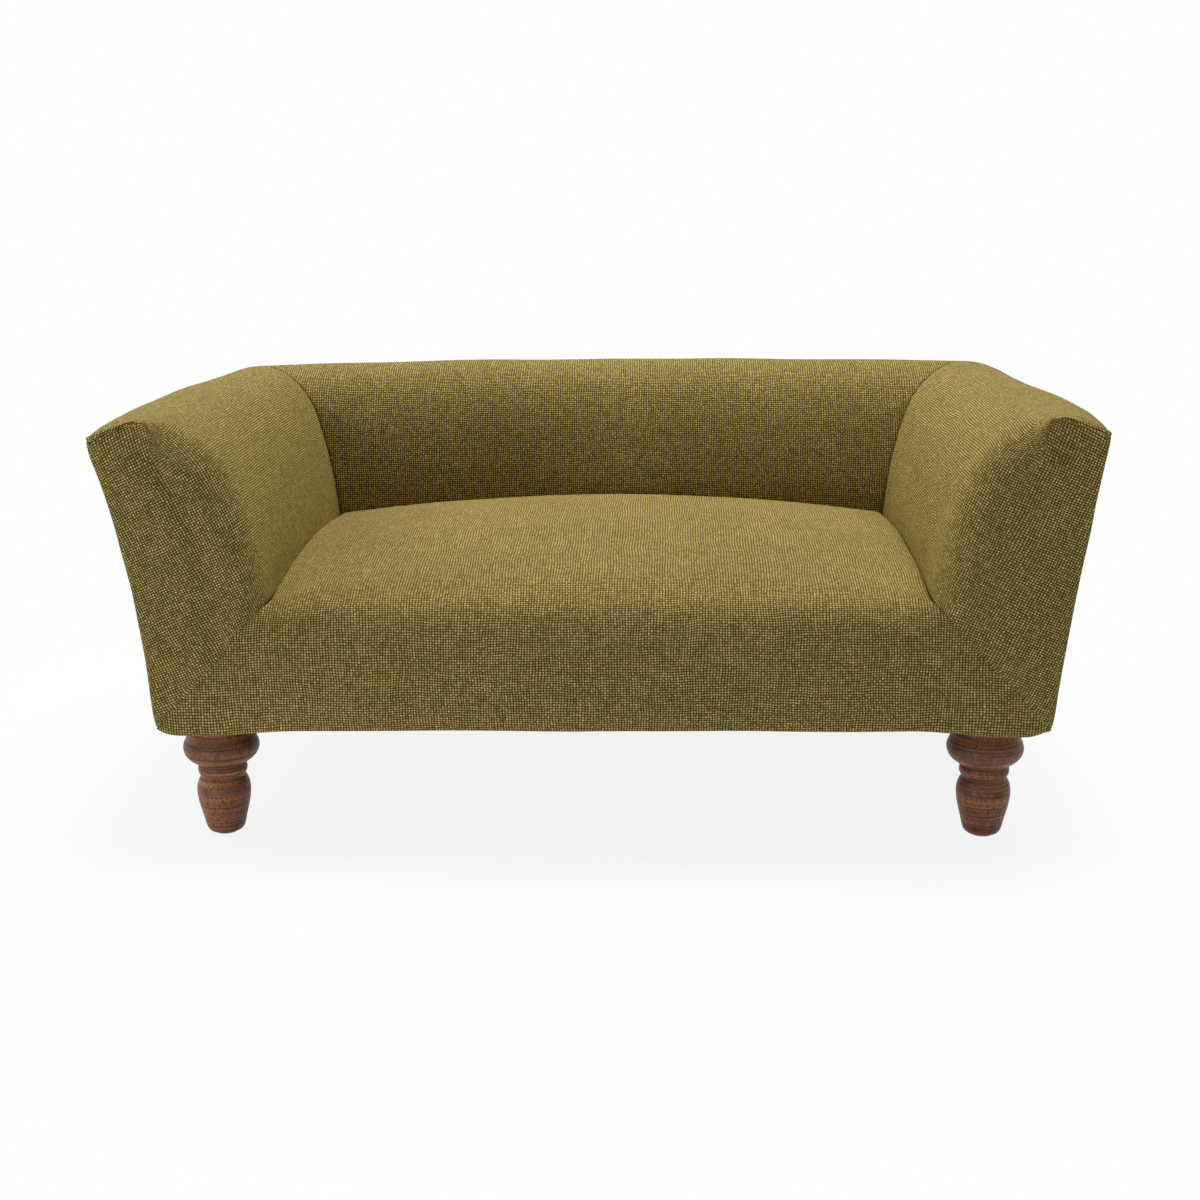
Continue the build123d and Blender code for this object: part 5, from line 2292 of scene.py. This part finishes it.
class CarriedParts:
    """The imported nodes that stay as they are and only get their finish."""

    finishes: dict[str, WovenFinish | WoodFinish | PlainFinish] = {
        "cover_fabric": COVER, "dust_cloth": DUST_CLOTH, "foam": FOAM, "liner_board": LINER_WOOD,
        "outer_card": CARD, "frame_timber": FRAME_WOOD, "foot_wood": FOOT_WOOD,
        "webbing": WEBBING, "fixing_steel": ZINC, "glide_steel": BROWNED,
    }

    def __init__(self, effects: Effects) -> None:
        """Makes the material of every slot with the shared groups."""
        self.materials = {slot: finish.make(effects) for slot, finish in self.finishes.items()}

    def dress(self) -> None:
        """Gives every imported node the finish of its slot."""
        slots = {part["node"]: part["material_slot"] for part in frame["record"]["subparts"]}
        for name, node in frame["nodes"].items():
            material = self.materials[slots[name]]
            node.data.materials.clear()
            node.data.materials.append(material)
        LOG.info("%d packed nodes dressed", len(frame["nodes"]))


@dataclass(frozen=True)
class Lamp:
    """A soft square lamp: where it stands, what it is turned to, its width and its power."""

    name: str
    place: tuple[float, float, float]
    aim: tuple[float, float, float]
    size: float
    power: float

    def make(self) -> None:
        """Hangs the lamp."""
        data = bpy.data.lights.new(self.name, "AREA")
        data.shape = "SQUARE"
        data.size = self.size
        data.energy = self.power
        lamp = bpy.data.objects.new(self.name, data)
        lamp.location = self.place
        lamp.rotation_mode = "QUATERNION"
        way = Vector(self.aim) - Vector(self.place)
        lamp.rotation_quaternion = way.to_track_quat("-Z", "Y")
        bpy.context.scene.collection.objects.link(lamp)


@dataclass
class Studio:
    """Pale floor, soft light and the camera."""

    focal: float = 1750.197
    frame_width: float = 1200.0
    place: tuple[float, float, float] = (0.0511545, -1.5983612, 0.5477668)
    pitch: float = 0.2428184
    yaw: float = -0.0360171
    roll: float = -0.0095939
    floor_size: float = 12.0
    sensor: float = 36.0
    white: tuple[float, float, float, float] = (1.0, 1.0, 1.0, 1.0)
    floor_grey: tuple[float, float, float, float] = (0.93, 0.93, 0.93, 1.0)
    bounce: float = 0.02
    white_from: float = 0.40
    white_to: float = 0.75
    near_white: float = 0.88
    lamps: tuple[Lamp, ...] = (
        Lamp("top_light", (0.46, 0.62, 3.2), (0.0, -0.3, 0.0), 2.2, 111.0),
        Lamp("left_light", (-2.2, 0.34, 1.9), (0.0, 0.0, 0.2), 1.3, 31.0),
        Lamp("front_light", (-1.5, -2.0, 0.20), (-0.1, 0.0, 0.2), 0.4, 8.2))

    def camera(self) -> None:
        """Camera at the photograph's place, turn and field of view."""
        data = bpy.data.cameras.new("camera")
        data.sensor_width = self.sensor
        data.lens = self.sensor * self.focal / self.frame_width
        ahead = Vector((math.sin(self.yaw) * math.cos(self.pitch),
                        math.cos(self.yaw) * math.cos(self.pitch), -math.sin(self.pitch)))
        right = Vector((math.cos(self.yaw), -math.sin(self.yaw), 0.0))
        upwards = right.cross(ahead)
        turn_right = right * math.cos(self.roll) + upwards * math.sin(self.roll)
        turn_up = upwards * math.cos(self.roll) - right * math.sin(self.roll)
        camera = bpy.data.objects.new("camera", data)
        axes = Matrix((turn_right, turn_up, -ahead)).transposed().to_4x4()
        camera.matrix_world = Matrix.Translation(Vector(self.place)) @ axes
        bpy.context.scene.collection.objects.link(camera)
        bpy.context.scene.camera = camera

    def light(self) -> None:
        """Broad light from above, a weaker one from the left and a faint one low in front."""
        for lamp in self.lamps:
            lamp.make()
        world = bpy.data.worlds.new("studio")
        world.use_nodes = True
        sheet = NodeSheet(world.node_tree)
        sheet.give(world.node_tree.nodes["Background"],
                   {"Color": self.white, "Strength": sheet.lerp(sheet.direct(), self.bounce, 1.0)})
        bpy.context.scene.world = world

    def floor(self) -> None:
        """Pale floor that fades into the white background and keeps the bed's shadow."""
        reach = self.floor_size
        material, sheet, shader = new_material("pale_floor")
        sheet.give(shader, {"Base Color": self.floor_grey, "Roughness": 0.9,
                            "Specular IOR Level": 0.1})
        glow = sheet.add("ShaderNodeEmission")
        sheet.put(glow.inputs["Color"], self.white)
        length = sheet.add("ShaderNodeVectorMath", operation="LENGTH")
        sheet.put(length.inputs[0], sheet.add("ShaderNodeTexCoord").outputs["Object"])
        far = sheet.remap(length.outputs["Value"], self.white_from, self.white_to, self.near_white,
                          1.0)
        mix = sheet.add("ShaderNodeMixShader")
        sheet.give(mix, {0: sheet.math("MULTIPLY", sheet.direct(), far), 1: shader.outputs[0],
                         2: glow.outputs[0]})
        output = material.node_tree.nodes["Material Output"]
        sheet.put(output.inputs["Surface"], mix.outputs[0])
        floor = link_mesh("floor", [(-reach, -reach, 0), (reach, -reach, 0), (reach, reach, 0),
                                    (-reach, reach, 0)], [(0, 1, 2, 3)], material, smooth=False)

    def make(self) -> None:
        """Builds the studio round the bed."""
        bpy.context.scene.view_settings.view_transform = "Standard"
        self.camera()
        self.light()
        self.floor()
        LOG.info("studio ready")


def main() -> None:
    """Builds the studio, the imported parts' finishes and every piece, and reports each."""
    logging.basicConfig(level=logging.INFO, format="%(name)s: %(message)s")
    Studio().make()
    parts = CarriedParts(Effects())
    parts.dress()
    for form in (SeatForm(), ArmForm(), BackForm(), OutsideCloth(), TurnedFeet(), DustSheet()):
        for piece in form.make(parts.materials):
            LOG.info("%s: %d points", piece.name, len(piece.data.vertices))


if __name__ == "__main__":
    main()
